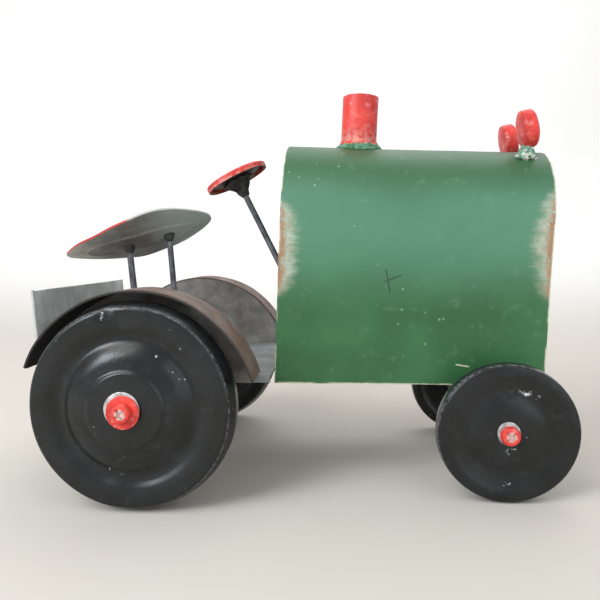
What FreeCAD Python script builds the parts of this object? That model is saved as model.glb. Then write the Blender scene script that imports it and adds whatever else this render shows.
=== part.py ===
"""Toy tractor of welded and painted sheet metal, as a parametric FreeCAD document.

+X is forward, +Z is up and Z = 0 is the ground under the wheels. X = 0 and Y = 0 are the middle
of the tractor's length and width. The right-hand side is -Y. Lengths are in millimetres.
"""
import FreeCAD, Part
import math
import os
import Sketcher

os.makedirs("parts", exist_ok=True)
doc = FreeCAD.newDocument("ToyTractor")
V = FreeCAD.Vector
X_AXIS, Y_AXIS, Z_AXIS = V(1, 0, 0), V(0, 1, 0), V(0, 0, 1)

# ---------------------------------------------------------------- driving dimensions
driving = [
    ("rear_axle_x", -74.84, "rear axle, from the middle of the length"),
    ("wheelbase", 184.9, "rear axle to front axle"),
    ("axle_radius", 4.0, "both axle rods"),
    ("running_gap", 0.06, "radial clearance of a wheel's sleeve on its axle"),
    ("end_gap", 0.3, "side clearance of a wheel on its axle"),
    ("skin", 1.2, "sheet of the hood, fenders, tail and wheels"),
    # hood, in its own frame: it starts at the rear near the foot and dips towards the front
    ("hood_rear", 64.3, "start of the hood's own frame, ahead of the rear axle"),
    ("hood_base", 56.6, "start of the hood's own frame, above the ground"),
    ("hood_foot", 54.4, "level lower edge of the hood above the ground"),
    ("hood_spare", 6.0, "sheet below the hood's own frame, before its foot is cut level"),
    ("hood_dip", 2.5, "degrees that the hood dips towards the front"),
    ("hood_length", 144.8, "hood, rear edge to front edge"),
    ("hood_half", 40.6, "half the hood's width, and the radius of its arched top"),
    ("hood_spring", 92.1, "top of the hood's flat sides, in the hood's own frame"),
    ("plate_inset", 1.6, "end plates, in from the hood's edges"),
    ("stack_along", 41.0, "exhaust stack, ahead of the hood's rear edge"),
    ("stack_radius", 10.4, "outside of the exhaust stack"),
    ("stack_wall", 1.2, "wall of the exhaust stack"),
    ("stack_rise", 29.5, "top of the stack above the hood's crown"),
    ("stack_seat", 0.2, "gap below the stack's square-cut foot, closed by its weld bead"),
    ("stack_bead", 2.1, "thickness of the weld bead around the stack"),
    ("bead_out", 0.5, "middle of the bead, out from the stack"),
    ("bead_sink", 0.1, "middle of the bead, below the hood's crown"),
    ("bead_blank", 12.0, "rod that clears the bead from the stack's inside, half above the crown"),
    ("lamp_along", 132.4, "headlights, ahead of the hood's rear edge"),
    ("lamp_up", 142.3, "headlight centre, in the hood's own frame"),
    ("lamp_side", 20.0, "headlights, to each side of the middle"),
    ("lamp_radius", 10.3, "headlight disc"),
    ("lamp_thick", 7.6, "headlight disc"),
    ("lamp_tilt", -12.5, "degrees that a headlight leans back from the hood's upright"),
    ("lamp_round", 0.9, "rounding of a headlight's rims"),
    ("stub_radius", 4.6, "weld stub under a headlight"),
    ("stub_flare", 0.8, "weld stub's foot, wider than the stub"),
    ("stub_neck", 1.0, "weld stub's top, narrower than the stub"),
    ("stub_height", 10.0, "weld stub before it is cut to the hood and the headlight"),
    ("stub_drop", 8.0, "weld stub's foot, below the headlight"),
    ("stub_behind", 1.0, "weld stub, behind the headlight's middle"),
    ("stub_clear", 10.0, "cutter for the stub's top, beyond each face of the headlight"),
    # rear deck, fenders and tail
    ("deck_top", 62.0, "top of the deck"),
    ("deck_skin", 1.5, "deck sheet"),
    ("deck_lip", 4.0, "folded edge of the deck, below its top"),
    ("fender_inner", 57.3, "outer face of a fender's side plate, from the middle"),
    ("fender_outer", 82.6, "outer edge of a fender's strip, from the middle"),
    ("fender_radius", 61.5, "top of a fender's strip"),
    ("fender_up", 47.3, "centre of a fender's arc above the ground"),
    ("fender_ahead", 0.6, "centre of a fender's arc, ahead of the rear axle"),
    ("fender_front", 15.8, "degrees from forward to the strip's front end"),
    ("fender_rear", 158.6, "degrees from forward to the strip's rear end"),
    ("fender_low", 58.0, "lower edge of a fender's side plate"),
    ("fender_toe", 54.6, "front end of a fender's side plate, ahead of the rear axle"),
    ("fender_heel", 56.6, "front face of the tail plate at its foot, behind the rear axle"),
    ("tail_half", 63.0, "half the tail plate's width"),
    ("tail_low", 56.5, "foot of the tail plate above the ground"),
    ("tail_high", 50.5, "tail plate, foot to top edge"),
    ("tail_lean", 3.2, "degrees that the tail plate leans back"),
    # seat
    ("seat_ahead", -24.3, "middle of the seat, ahead of the rear axle"),
    ("seat_up", 135.9, "middle of the seat's rim above the ground"),
    ("seat_reach", 47.6, "half the seat's length"),
    ("seat_widest", 31.7, "seat at its widest, out from its middle line to its right rim"),
    ("seat_skin", 1.3, "seat sheet"),
    ("seat_dish", 330.0, "radius of the seat's hollow"),
    ("seat_pitch", -14.4, "degrees that the seat rises towards the front"),
    ("seat_roll", 18.0, "degrees that the seat tips towards its left side"),
    ("rear_post_x", -24.6, "foot of the rear seat post, ahead of the rear axle"),
    ("rear_post_lean", -5.0, "degrees that the rear seat post leans back"),
    ("rear_post_radius", 2.0, "rear seat post"),
    ("front_post_x", 0.2, "foot of the front seat post, ahead of the rear axle"),
    ("front_post_lean", -4.0, "degrees that the front seat post leans back"),
    ("front_post_radius", 1.8, "front seat post"),
    ("post_blank", 100.0, "seat post rods before they are cut to the seat"),
    ("seat_weld_flare", 2.6, "seat weld, out from its post under the seat"),
    ("seat_weld_down", 4.5, "seat weld, down its post from the seat"),
    ("seat_weld_blank", 12.0, "seat weld before it is cut to the seat"),
    # steering
    ("steer_ahead", 37.6, "middle of the steering wheel, ahead of the rear axle"),
    ("steer_up", 171.2, "middle of the steering wheel above the ground"),
    ("steer_rake", -26.4, "degrees that the steering wheel tips towards the seat"),
    ("steer_radius", 19.6, "steering wheel"),
    ("steer_thick", 3.4, "steering wheel"),
    ("steer_rim", 4.2, "flat rim of the steering wheel"),
    ("steer_sink", 1.2, "middle of the steering wheel below its rim"),
    ("boss_radius", 8.6, "foot plate under the steering wheel"),
    ("boss_plate", 1.1, "foot plate under the steering wheel"),
    ("boss_cone", 9.6, "gusset cone under the foot plate"),
    ("column_radius", 1.8, "steering column"),
    ("column_end", 85.0, "end of the steering column, below the steering wheel's middle"),
    ("bush_start", 67.0, "upper end of the column's bush, below the steering wheel's middle"),
    ("bush_length", 13.0, "bush that holds the column in the dash plate"),
    ("bush_radius", 3.2, "outside of the column's bush"),
    ("passage_lead", 20.0, "hole in the dash plate, cut from this far above the bush"),
    ("passage_length", 60.0, "hole in the dash plate, length of its cutter"),
    ("collar_radius", 4.0, "collar that keeps the column in its bush"),
    ("collar_length", 3.0, "collar that keeps the column in its bush"),
    # wheels: radii from the axle, faces from the wheel's middle plane
    ("rear_middle", 80.4, "middle plane of a rear wheel, from the middle"),
    ("rear_rim", 51.7, "rear wheel at its seam"),
    ("rear_edge", 49.1, "rear wheel at the edge of its face"),
    ("rear_corner", 1.8, "bend at the edge of a rear wheel's face"),
    ("rear_face", 10.4, "shoulder of a rear wheel's face"),
    ("rear_groove_far", 40.5, "outer side of the pressed groove"),
    ("rear_groove", 34.0, "middle of the pressed groove"),
    ("rear_groove_face", 8.2, "bottom of the pressed groove"),
    ("rear_dome", 27.5, "inner side of the pressed groove"),
    ("rear_dome_face", 11.8, "inner side of the pressed groove"),
    ("rear_boss", 19.0, "raised middle of a rear wheel"),
    ("rear_boss_face", 14.4, "raised middle of a rear wheel"),
    ("front_middle", 60.6, "middle plane of a front wheel, from the middle"),
    ("front_rim", 35.5, "front wheel at its seam"),
    ("front_edge", 35.2, "front wheel at the edge of its face"),
    ("front_corner", 1.3, "bend at the edge of a front wheel's face"),
    ("front_face", 5.6, "shoulder of a front wheel's face"),
    ("front_groove_far", 27.0, "outer side of the pressed groove"),
    ("front_groove", 20.5, "middle of the pressed groove"),
    ("front_groove_face", 3.6, "bottom of the pressed groove"),
    ("front_dome", 15.0, "inner side of the pressed groove"),
    ("front_dome_face", 5.2, "inner side of the pressed groove"),
    ("front_boss", 9.5, "raised middle of a front wheel"),
    ("front_boss_face", 5.7, "raised middle of a front wheel"),
    ("sleeve_radius", 6.0, "outside of a wheel's sleeve"),
    # axle fixings
    ("spacer_radius", 5.5, "spacer tube between a hanger and a wheel"),
    ("rear_hanger", 46.5, "outer face of a rear axle hanger, from the middle"),
    ("hanger_skin", 2.5, "axle hanger plates"),
    ("hanger_foot", 9.0, "half the width of a hanger's lower edge"),
    ("hanger_drop", 8.0, "lower edge of a hanger, below the axle"),
    ("hanger_lap", 8.0, "top of a front hanger, above the hood's foot"),
    ("rear_hanger_half", 16.0, "half the width of a rear hanger's upper edge"),
    ("front_hanger_ahead", 19.0, "upper front corner of a front hanger, ahead of the axle"),
    ("front_hanger_behind", 27.0, "upper rear corner of a front hanger, behind the axle"),
    ("tapped_radius", 2.5, "tapped hole in an axle's end"),
    ("tapped_depth", 14.0, "tapped hole in an axle's end"),
    ("shank_length", 12.0, "screw shank below its head"),
    ("head_radius", 4.8, "pan head of an axle screw"),
    ("head_height", 3.3, "pan head of an axle screw"),
    ("head_round", 1.7, "rounding of a pan head's rim"),
    ("cross_width", 1.3, "slot of the cross recess"),
    ("cross_length", 5.4, "slot of the cross recess"),
    ("cross_depth", 1.5, "depth of the cross recess"),
    ("big_washer_radius", 9.2, "plain washer of a rear wheel"),
    ("red_washer_radius", 8.0, "painted washer of a rear wheel"),
    ("front_washer_radius", 6.6, "washer of a front wheel"),
    ("washer_skin", 1.1, "washers"),
]
sizes = doc.addObject("Spreadsheet::Sheet", "Sizes")
for row, (alias, number, note) in enumerate(driving, start=1):
    sizes.set(f"A{row}", alias)
    sizes.set(f"B{row}", str(number))
    sizes.setAlias(f"B{row}", alias)
    sizes.set(f"C{row}", note)
doc.recompute()

parts = []


# ---------------------------------------------------------------- helpers
def value(text):
    """The number that an expression on the sheet gives now."""
    return float(sizes.evalExpression(str(text)))


def bind(thing, **expressions):
    """Bind properties to expressions on the sheet."""
    for name, text in expressions.items():
        thing.setExpression(name, str(text))


def put(thing, x=0, y=0, z=0, turn_axis=Z_AXIS, turn=0):
    """Bind a Placement: x, y, z and the turn in degrees are expressions on the sheet."""
    thing.Placement = FreeCAD.Placement(V(), FreeCAD.Rotation(turn_axis, 1.0))
    for name, text in (("x", x), ("y", y), ("z", z)):
        thing.setExpression("Placement.Base." + name, str(text))
    thing.setExpression("Placement.Rotation.Angle", f"({turn}) * 1 deg")


def keep(thing, label):
    """Name a finished sub-part: its label is the name of its file."""
    thing.Label = label
    parts.append(thing)
    return thing


def sibling(label, kind):
    """A helper shape that a sub-part is made from."""
    return doc.addObject(kind, label)


def rod(label, radius, length):
    thing = sibling(label, "Part::Cylinder")
    bind(thing, Radius=radius, Height=length)
    return thing


def cut(label, base, tool):
    thing = sibling(label, "Part::Cut")
    thing.Base = base
    thing.Tool = tool
    return thing


def tube(label, outside, inside, length):
    """A tube along its own Z, from 0 to length."""
    outer = rod(label + "_outside", outside, length)
    inner = rod(label + "_bore", inside, f"({length}) + 2")
    put(inner, z=-1)
    return cut(label + "_tube", outer, inner)


def new_body(label):
    return doc.addObject("PartDesign::Body", label + "_body")


def new_sketch(body, role, name):
    plane = next(item for item in body.Origin.OriginFeatures if item.Role == role)
    sketch = body.newObject("Sketcher::SketchObject", name)
    sketch.AttachmentSupport = [(plane, "")]
    sketch.MapMode = "FlatFace"
    return sketch


def hold(sketch, kind, geometry, point, text):
    """Hold one coordinate of a sketch point at an expression, from the sketch's origin."""
    number = sketch.addConstraint(Sketcher.Constraint(kind, -1, 1, geometry, point, value(text)))
    sketch.setExpression(f"Constraints[{number}]", str(text))


def outline(sketch, corners):
    """A closed outline of straight lines; each corner is a pair of expressions."""
    points = [V(value(across), value(up), 0) for across, up in corners]
    count = len(points)
    first = sketch.GeometryCount
    for index in range(count):
        sketch.addGeometry(Part.LineSegment(points[index], points[(index + 1) % count]), False)
    for index in range(count):
        following = first + (index + 1) % count
        sketch.addConstraint(Sketcher.Constraint("Coincident", first + index, 2, following, 1))
    for index, (across, up) in enumerate(corners):
        hold(sketch, "DistanceX", first + index, 1, across)
        hold(sketch, "DistanceY", first + index, 1, up)


def round_hole(sketch, across, up, radius):
    centre = V(value(across), value(up), 0)
    number = sketch.addGeometry(Part.Circle(centre, Z_AXIS, value(radius)), False)
    hold(sketch, "DistanceX", number, 3, across)
    hold(sketch, "DistanceY", number, 3, up)
    limit = sketch.addConstraint(Sketcher.Constraint("Radius", number, value(radius)))
    sketch.setExpression(f"Constraints[{limit}]", radius)


def arched_outline(sketch, half, spring, low):
    """The hood's outline: flat foot, upright sides and a half-round top."""
    wide, high, foot = value(half), value(spring), value(low)
    sketch.addGeometry(Part.LineSegment(V(-wide, foot, 0), V(wide, foot, 0)), False)
    sketch.addGeometry(Part.LineSegment(V(wide, foot, 0), V(wide, high, 0)), False)
    circle = Part.Circle(V(0, high, 0), Z_AXIS, wide)
    sketch.addGeometry(Part.ArcOfCircle(circle, 0, math.pi), False)
    sketch.addGeometry(Part.LineSegment(V(-wide, high, 0), V(-wide, foot, 0)), False)
    for before, after in ((0, 1), (1, 2), (2, 3), (3, 0)):
        sketch.addConstraint(Sketcher.Constraint("Coincident", before, 2, after, 1))
    sketch.addConstraint(Sketcher.Constraint("Horizontal", 0))
    sketch.addConstraint(Sketcher.Constraint("Vertical", 1))
    sketch.addConstraint(Sketcher.Constraint("Vertical", 3))
    sketch.addConstraint(Sketcher.Constraint("PointOnObject", 2, 3, -2))
    hold(sketch, "DistanceY", 2, 3, spring)
    hold(sketch, "DistanceY", 1, 2, spring)
    hold(sketch, "DistanceY", 3, 1, spring)
    hold(sketch, "DistanceY", 0, 1, low)
    limit = sketch.addConstraint(Sketcher.Constraint("Radius", 2, wide))
    sketch.setExpression(f"Constraints[{limit}]", half)


def pad(body, sketch, length, name, both_ways=False):
    """Pad a sketch along its normal, or by half the length each way."""
    feature = body.newObject("PartDesign::Pad", name)
    feature.Profile = sketch
    feature.setExpression("Length", str(length))
    feature.Midplane = both_ways
    body.Tip = feature
    return feature


def hood_x(along, up):
    """World X of a point given in the hood's own frame."""
    dip = "Sizes.hood_dip * 1 deg"
    return f"Sizes.rear_axle_x + Sizes.hood_rear + ({along}) * cos({dip}) + ({up}) * sin({dip})"


def hood_z(along, up):
    """World Z of a point given in the hood's own frame."""
    dip = "Sizes.hood_dip * 1 deg"
    return f"Sizes.hood_base - ({along}) * sin({dip}) + ({up}) * cos({dip})"


def put_on_hood(thing, along=0, across=0, up=0, more_turn=0):
    put(thing, hood_x(along, up), across, hood_z(along, up), Y_AXIS, f"Sizes.hood_dip + ({more_turn})")


SIDES = (("right", -1), ("left", 1))
FRONT_AXLE_X = "Sizes.rear_axle_x + Sizes.wheelbase"


def put_along_y(thing, x, start, z, side):
    """Lay a thing that grows along +Z so that it grows outwards on one side, from |y| = start."""
    put(thing, x, f"{side} * ({start})", z, X_AXIS, -90 * side)


# ---------------------------------------------------------------- hood
def cut_level(label, thing):
    """Trim a piece of the hood level at its foot."""
    waste = sibling(label + "_waste", "Part::Box")
    bind(waste, Length="2 * Sizes.hood_length", Width="4 * Sizes.hood_half", Height="Sizes.hood_foot")
    put(waste, "Sizes.rear_axle_x", "-2 * Sizes.hood_half")
    return cut(label + "_level", thing, waste)


def make_hood():
    body = new_body("hood_shell")
    sketch = new_sketch(body, "YZ_Plane", "hood_outline")
    arched_outline(sketch, "Sizes.hood_half", "Sizes.hood_spring", "-Sizes.hood_spare")
    pad(body, sketch, "Sizes.hood_length", "hood_block")
    doc.recompute()
    solid_volume = body.Shape.Volume
    hollow = new_sketch(body, "YZ_Plane", "hood_hollow")
    arched_outline(hollow, "Sizes.hood_half - Sizes.skin", "Sizes.hood_spring",
                   "-Sizes.hood_spare - 1")
    pocket = body.newObject("PartDesign::Pocket", "hood_inside")
    pocket.Profile = hollow
    pocket.Type = "ThroughAll"
    pocket.Reversed = True
    body.Tip = pocket
    doc.recompute()
    assert body.Shape.Volume < 0.1 * solid_volume, "the hood isn't hollow"
    put_on_hood(body)
    keep(cut_level("hood_shell", body), "hood_shell")


def end_plate(label, along):
    body = new_body(label)
    sketch = new_sketch(body, "YZ_Plane", label + "_outline")
    arched_outline(sketch, "Sizes.hood_half - Sizes.skin", "Sizes.hood_spring",
                   "-Sizes.hood_spare")
    pad(body, sketch, "Sizes.skin", label + "_sheet")
    put_on_hood(body, along)
    return cut_level(label, body)


def hood_solid(label, radius):
    """The hood's arched top as a solid rod, to saddle what is welded on it."""
    thing = rod(label, radius, "Sizes.hood_length")
    put(thing, hood_x("0", "Sizes.hood_spring"), 0, hood_z("0", "Sizes.hood_spring"),
        Y_AXIS, "90 + Sizes.hood_dip")
    return thing


CROWN = "Sizes.hood_spring + Sizes.hood_half"


def make_stack():
    stack = tube("stack", "Sizes.stack_radius", "Sizes.stack_radius - Sizes.stack_wall",
                 "Sizes.stack_rise - Sizes.stack_seat")
    put_on_hood(stack, "Sizes.stack_along", 0, f"{CROWN} + Sizes.stack_seat")
    keep(stack, "exhaust_stack")
    ring = sibling("bead_ring", "Part::Torus")
    bind(ring, Radius1="Sizes.stack_radius + Sizes.bead_out", Radius2="Sizes.stack_bead")
    put_on_hood(ring, "Sizes.stack_along", 0, f"{CROWN} - Sizes.bead_sink")
    core = rod("bead_core", "Sizes.stack_radius", "Sizes.bead_blank")
    put_on_hood(core, "Sizes.stack_along", 0, f"{CROWN} - Sizes.bead_blank / 2")
    bead = cut("bead_on_stack", ring, core)
    bead = cut("bead_saddled", bead, hood_solid("bead_saddle", "Sizes.hood_half"))
    keep(bead, "stack_weld_bead")


def make_headlights():
    for side_name, side in SIDES:
        across = f"{side} * Sizes.lamp_side"
        disc = rod(f"lamp_{side_name}", "Sizes.lamp_radius", "Sizes.lamp_thick")
        put(disc, hood_x("Sizes.lamp_along - Sizes.lamp_thick / 2", "Sizes.lamp_up"), across,
            hood_z("Sizes.lamp_along - Sizes.lamp_thick / 2", "Sizes.lamp_up"),
            Y_AXIS, "90 + Sizes.hood_dip + Sizes.lamp_tilt")
        doc.recompute()
        rounded = sibling(f"lamp_{side_name}_rounded", "Part::Fillet")
        rounded.Base = disc
        rims = [number for number, edge in enumerate(disc.Shape.Edges, start=1)
                if len(edge.Vertexes) == 1]
        bend = value("Sizes.lamp_round")
        rounded.Edges = [(number, bend, bend) for number in rims]
        keep(rounded, f"headlight_{side_name}")

        stub = sibling(f"stub_{side_name}", "Part::Cone")
        bind(stub, Radius1="Sizes.stub_radius + Sizes.stub_flare",
             Radius2="Sizes.stub_radius - Sizes.stub_neck", Height="Sizes.stub_height")
        put_on_hood(stub, "Sizes.lamp_along - Sizes.stub_behind", across,
                    "Sizes.lamp_up - Sizes.lamp_radius - Sizes.stub_drop")
        lifted = rod(f"stub_{side_name}_cutter", "Sizes.lamp_radius",
                     "Sizes.lamp_thick + 2 * Sizes.stub_clear")
        start = "Sizes.lamp_along - Sizes.lamp_thick / 2 - Sizes.stub_clear"
        put(lifted, hood_x(start, "Sizes.lamp_up"), across, hood_z(start, "Sizes.lamp_up"),
            Y_AXIS, "90 + Sizes.hood_dip")
        top = cut(f"stub_{side_name}_top", stub, lifted)
        foot = cut(f"stub_{side_name}_foot", top, hood_solid(f"stub_{side_name}_saddle",
                                                            "Sizes.hood_half"))
        keep(foot, f"headlight_stub_{side_name}")


# ---------------------------------------------------------------- deck, fenders and tail
def make_deck():
    body = new_body("deck_plate")
    sketch = new_sketch(body, "YZ_Plane", "deck_outline")
    half = "(Sizes.fender_inner - Sizes.skin)"
    low = "(Sizes.deck_top - Sizes.deck_lip)"
    under = "(Sizes.deck_top - Sizes.deck_skin)"
    inner = f"({half} - Sizes.deck_skin)"
    outline(sketch, [(f"-{half}", low), (f"-{half}", "Sizes.deck_top"),
                     (half, "Sizes.deck_top"), (half, low), (inner, low), (inner, under),
                     (f"-{inner}", under), (f"-{inner}", low)])
    pad(body, sketch, "Sizes.fender_heel + Sizes.hood_rear", "deck_sheet")
    put(body, "Sizes.rear_axle_x - Sizes.fender_heel", turn_axis=Y_AXIS)
    keep(body, "deck_plate")


def make_fenders():
    arc_x = "Sizes.rear_axle_x + Sizes.fender_ahead"
    for side_name, side in SIDES:
        body = new_body(f"fender_plate_{side_name}")
        sketch = new_sketch(body, "XZ_Plane", f"fender_side_{side_name}")
        radius = value("Sizes.fender_radius - Sizes.skin")
        low = value("Sizes.fender_low - Sizes.fender_up")
        front = value("Sizes.fender_toe - Sizes.fender_ahead")
        rear = value("-Sizes.fender_heel - Sizes.fender_ahead")
        front_up = math.sqrt(radius ** 2 - front ** 2)
        rear_up = math.sqrt(radius ** 2 - rear ** 2)
        arc = Part.ArcOfCircle(Part.Circle(V(0, 0, 0), Z_AXIS, radius),
                               math.atan2(front_up, front), math.atan2(rear_up, rear))
        sketch.addGeometry(arc, False)
        sketch.addGeometry(Part.LineSegment(V(rear, rear_up, 0), V(rear, low, 0)), False)
        sketch.addGeometry(Part.LineSegment(V(rear, low, 0), V(front, low, 0)), False)
        sketch.addGeometry(Part.LineSegment(V(front, low, 0), V(front, front_up, 0)), False)
        for before, after in ((0, 1), (1, 2), (2, 3)):
            sketch.addConstraint(Sketcher.Constraint("Coincident", before, 2, after, 1))
        sketch.addConstraint(Sketcher.Constraint("Coincident", 3, 2, 0, 1))
        sketch.addConstraint(Sketcher.Constraint("Coincident", 0, 3, -1, 1))
        limit = sketch.addConstraint(Sketcher.Constraint("Radius", 0, radius))
        sketch.setExpression(f"Constraints[{limit}]", "Sizes.fender_radius - Sizes.skin")
        sketch.addConstraint(Sketcher.Constraint("Vertical", 1))
        sketch.addConstraint(Sketcher.Constraint("Vertical", 3))
        hold(sketch, "DistanceX", 2, 1, "-Sizes.fender_heel - Sizes.fender_ahead")
        hold(sketch, "DistanceX", 2, 2, "Sizes.fender_toe - Sizes.fender_ahead")
        hold(sketch, "DistanceY", 2, 1, "Sizes.fender_low - Sizes.fender_up")
        hold(sketch, "DistanceY", 2, 2, "Sizes.fender_low - Sizes.fender_up")
        pad(body, sketch, "Sizes.skin", f"fender_sheet_{side_name}", both_ways=True)
        put(body, arc_x, f"{side} * (Sizes.fender_inner - Sizes.skin / 2)", "Sizes.fender_up")
        keep(body, f"fender_plate_{side_name}")

        width = "Sizes.fender_outer - Sizes.fender_inner + Sizes.skin"
        outer = rod(f"strip_{side_name}_outside", "Sizes.fender_radius", width)
        outer.setExpression("Angle", "(Sizes.fender_rear - Sizes.fender_front) * 1 deg")
        inner = rod(f"strip_{side_name}_inside", "Sizes.fender_radius - Sizes.skin", f"{width} + 2")
        put(inner, z=-1)
        strip = cut(f"strip_{side_name}", outer, inner)
        edge = "Sizes.fender_inner - Sizes.skin" if side < 0 else "-Sizes.fender_outer"
        strip.Placement = FreeCAD.Placement(
            V(value(arc_x), -value(edge), value("Sizes.fender_up")),
            FreeCAD.Rotation(X_AXIS, 90).multiply(
                FreeCAD.Rotation(Z_AXIS, value("Sizes.fender_front"))))
        strip.setExpression("Placement.Base.x", arc_x)
        strip.setExpression("Placement.Base.y", f"-({edge})")
        strip.setExpression("Placement.Base.z", "Sizes.fender_up")
        keep(strip, f"fender_strip_{side_name}")


def make_tail():
    plate = sibling("tail_sheet", "Part::Box")
    bind(plate, Length="Sizes.skin", Width="2 * Sizes.tail_half", Height="Sizes.tail_high")
    put(plate, "Sizes.rear_axle_x - Sizes.fender_heel - Sizes.skin", "-Sizes.tail_half",
        "Sizes.tail_low", Y_AXIS, "-Sizes.tail_lean")
    keep(plate, "tail_plate")


# ---------------------------------------------------------------- seat
def seat_placement():
    """The seat's frame: its own X runs to the front and its own Z out of the hollow."""
    place = V(value("Sizes.rear_axle_x + Sizes.seat_ahead"), 0, value("Sizes.seat_up"))
    pitch = FreeCAD.Rotation(Y_AXIS, value("Sizes.seat_pitch"))
    roll = FreeCAD.Rotation(X_AXIS, -value("Sizes.seat_roll"))
    return FreeCAD.Placement(place, pitch.multiply(roll))


def seat_ball(skin=0):
    """The ball whose surface is the seat's underside, or its top one skin in, in the seat's frame."""
    radius = value("Sizes.seat_dish")
    sag = value("Sizes.seat_reach") ** 2 / (2 * radius)
    # its poles lie to the sides, so that the seat has no pole on it
    return Part.makeSphere(radius - skin, V(0, 0, radius - sag), Y_AXIS, -90, 90, 360)


def make_seat():
    reach, widest = value("Sizes.seat_reach"), value("Sizes.seat_widest")
    # the hand-cut leaf-shaped rim: distance along and out, as shares of reach and widest
    right_rim = [(-1, 0), (-0.96, 0.14), (-0.68, 0.48), (-0.36, 0.69), (-0.02, 0.89), (0.38, 1),
                 (0.63, 0.89), (0.79, 0.66), (0.93, 0.36), (1, 0)]
    left_rim = [(0.85, 0.27), (0.46, 0.54), (0.19, 0.72), (-0.17, 0.82), (-0.4, 0.66),
                (-0.7, 0.45), (-0.97, 0.14)]
    right = [V(along * reach, -out * widest, 0) for along, out in right_rim]
    left = [V(along * reach, out * widest, 0) for along, out in left_rim]
    rim = Part.BSplineCurve()
    rim.interpolate(Points=right + left, PeriodicFlag=True)
    column = Part.Face(Part.Wire([rim.toShape()])).extrude(V(0, 0, 40))
    column.translate(V(0, 0, -20))
    hollow = seat_ball(value("Sizes.seat_skin"))
    seat = doc.addObject("Part::Feature", "seat_sheet")
    seat.Shape = column.common(seat_ball()).cut(hollow)
    seat.Placement = seat_placement()
    keep(seat, "seat_pan")

    ball = doc.addObject("Part::Feature", "seat_ball")
    ball.Shape = seat_ball()
    ball.Placement = seat_placement()
    for name in ("rear", "front"):
        foot_x = f"Sizes.rear_axle_x + Sizes.{name}_post_x"
        lean = f"Sizes.{name}_post_lean"
        post = rod(f"{name}_post_rod", f"Sizes.{name}_post_radius", "Sizes.post_blank")
        put(post, foot_x, 0, "Sizes.deck_top", Y_AXIS, lean)
        keep(cut(f"{name}_post", post, ball), f"seat_post_{name}")

        gap = value("Sizes.seat_up - Sizes.deck_top")
        blob = sibling(f"{name}_weld_cone", "Part::Cone")
        bind(blob, Radius1=f"Sizes.{name}_post_radius + 0.3",
             Radius2=f"Sizes.{name}_post_radius + Sizes.seat_weld_flare",
             Height="Sizes.seat_weld_blank")
        up_post = f"({post_reach(value(foot_x), value(lean), gap)} - Sizes.seat_weld_down)"
        put(blob, f"{foot_x} + {up_post} * sin({lean} * 1 deg)", 0,
            f"Sizes.deck_top + {up_post} * cos({lean} * 1 deg)", Y_AXIS, lean)
        trimmed = cut(f"{name}_weld_trim", blob, ball)
        core = rod(f"{name}_weld_core", f"Sizes.{name}_post_radius", "Sizes.post_blank")
        put(core, foot_x, 0, "Sizes.deck_top", Y_AXIS, lean)
        keep(cut(f"{name}_weld", trimmed, core), f"seat_weld_{name}")


def post_reach(foot_x, lean, gap):
    """Length of a leaning post from the deck to the seat's underside on the middle plane."""
    start = V(foot_x, 0, value("Sizes.deck_top"))
    along = V(math.sin(math.radians(lean)), 0, math.cos(math.radians(lean)))
    line = Part.makeLine(start, start + along * (gap + 30))
    ball = seat_ball()
    ball.Placement = seat_placement()
    return line.cut(ball).Edges[0].Length


# ---------------------------------------------------------------- steering
def put_on_column(thing, down):
    """Place a thing that grows down the column's axis, from a distance below the wheel's middle."""
    rake = "Sizes.steer_rake * 1 deg"
    put(thing, f"Sizes.rear_axle_x + Sizes.steer_ahead - ({down}) * sin({rake})", 0,
        f"Sizes.steer_up - ({down}) * cos({rake})", Y_AXIS, "180 + Sizes.steer_rake")


def rounded_path(corners, radii):
    """Straight runs through the corners, with a tangent arc of the given radius at each one."""
    edges = []
    last = corners[0]
    for before, corner, after, radius in zip(corners, corners[1:], corners[2:], radii):
        to_before = (before - corner).normalize()
        to_after = (after - corner).normalize()
        half_angle = to_before.getAngle(to_after) / 2
        trim = radius / math.tan(half_angle)
        start = corner + to_before * trim
        end = corner + to_after * trim
        bisector = (to_before + to_after).normalize()
        centre = corner + bisector * (radius / math.sin(half_angle))
        middle = centre - bisector * radius
        edges.append(Part.LineSegment(last, start).toShape())
        edges.append(Part.Arc(start, middle, end).toShape())
        last = end
    edges.append(Part.LineSegment(last, corners[-1]).toShape())
    return Part.Wire(edges)


def pressed_sheet(corners, radii, skin):
    """A pressed round sheet: the path (radius, height) is its outer face, revolved about Z."""
    path = rounded_path([V(radius, 0, height) for radius, height in corners], radii)
    section = path.makeOffset2D(skin, 0, True, True)
    return section.revolve(V(), Z_AXIS, 360)


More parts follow.
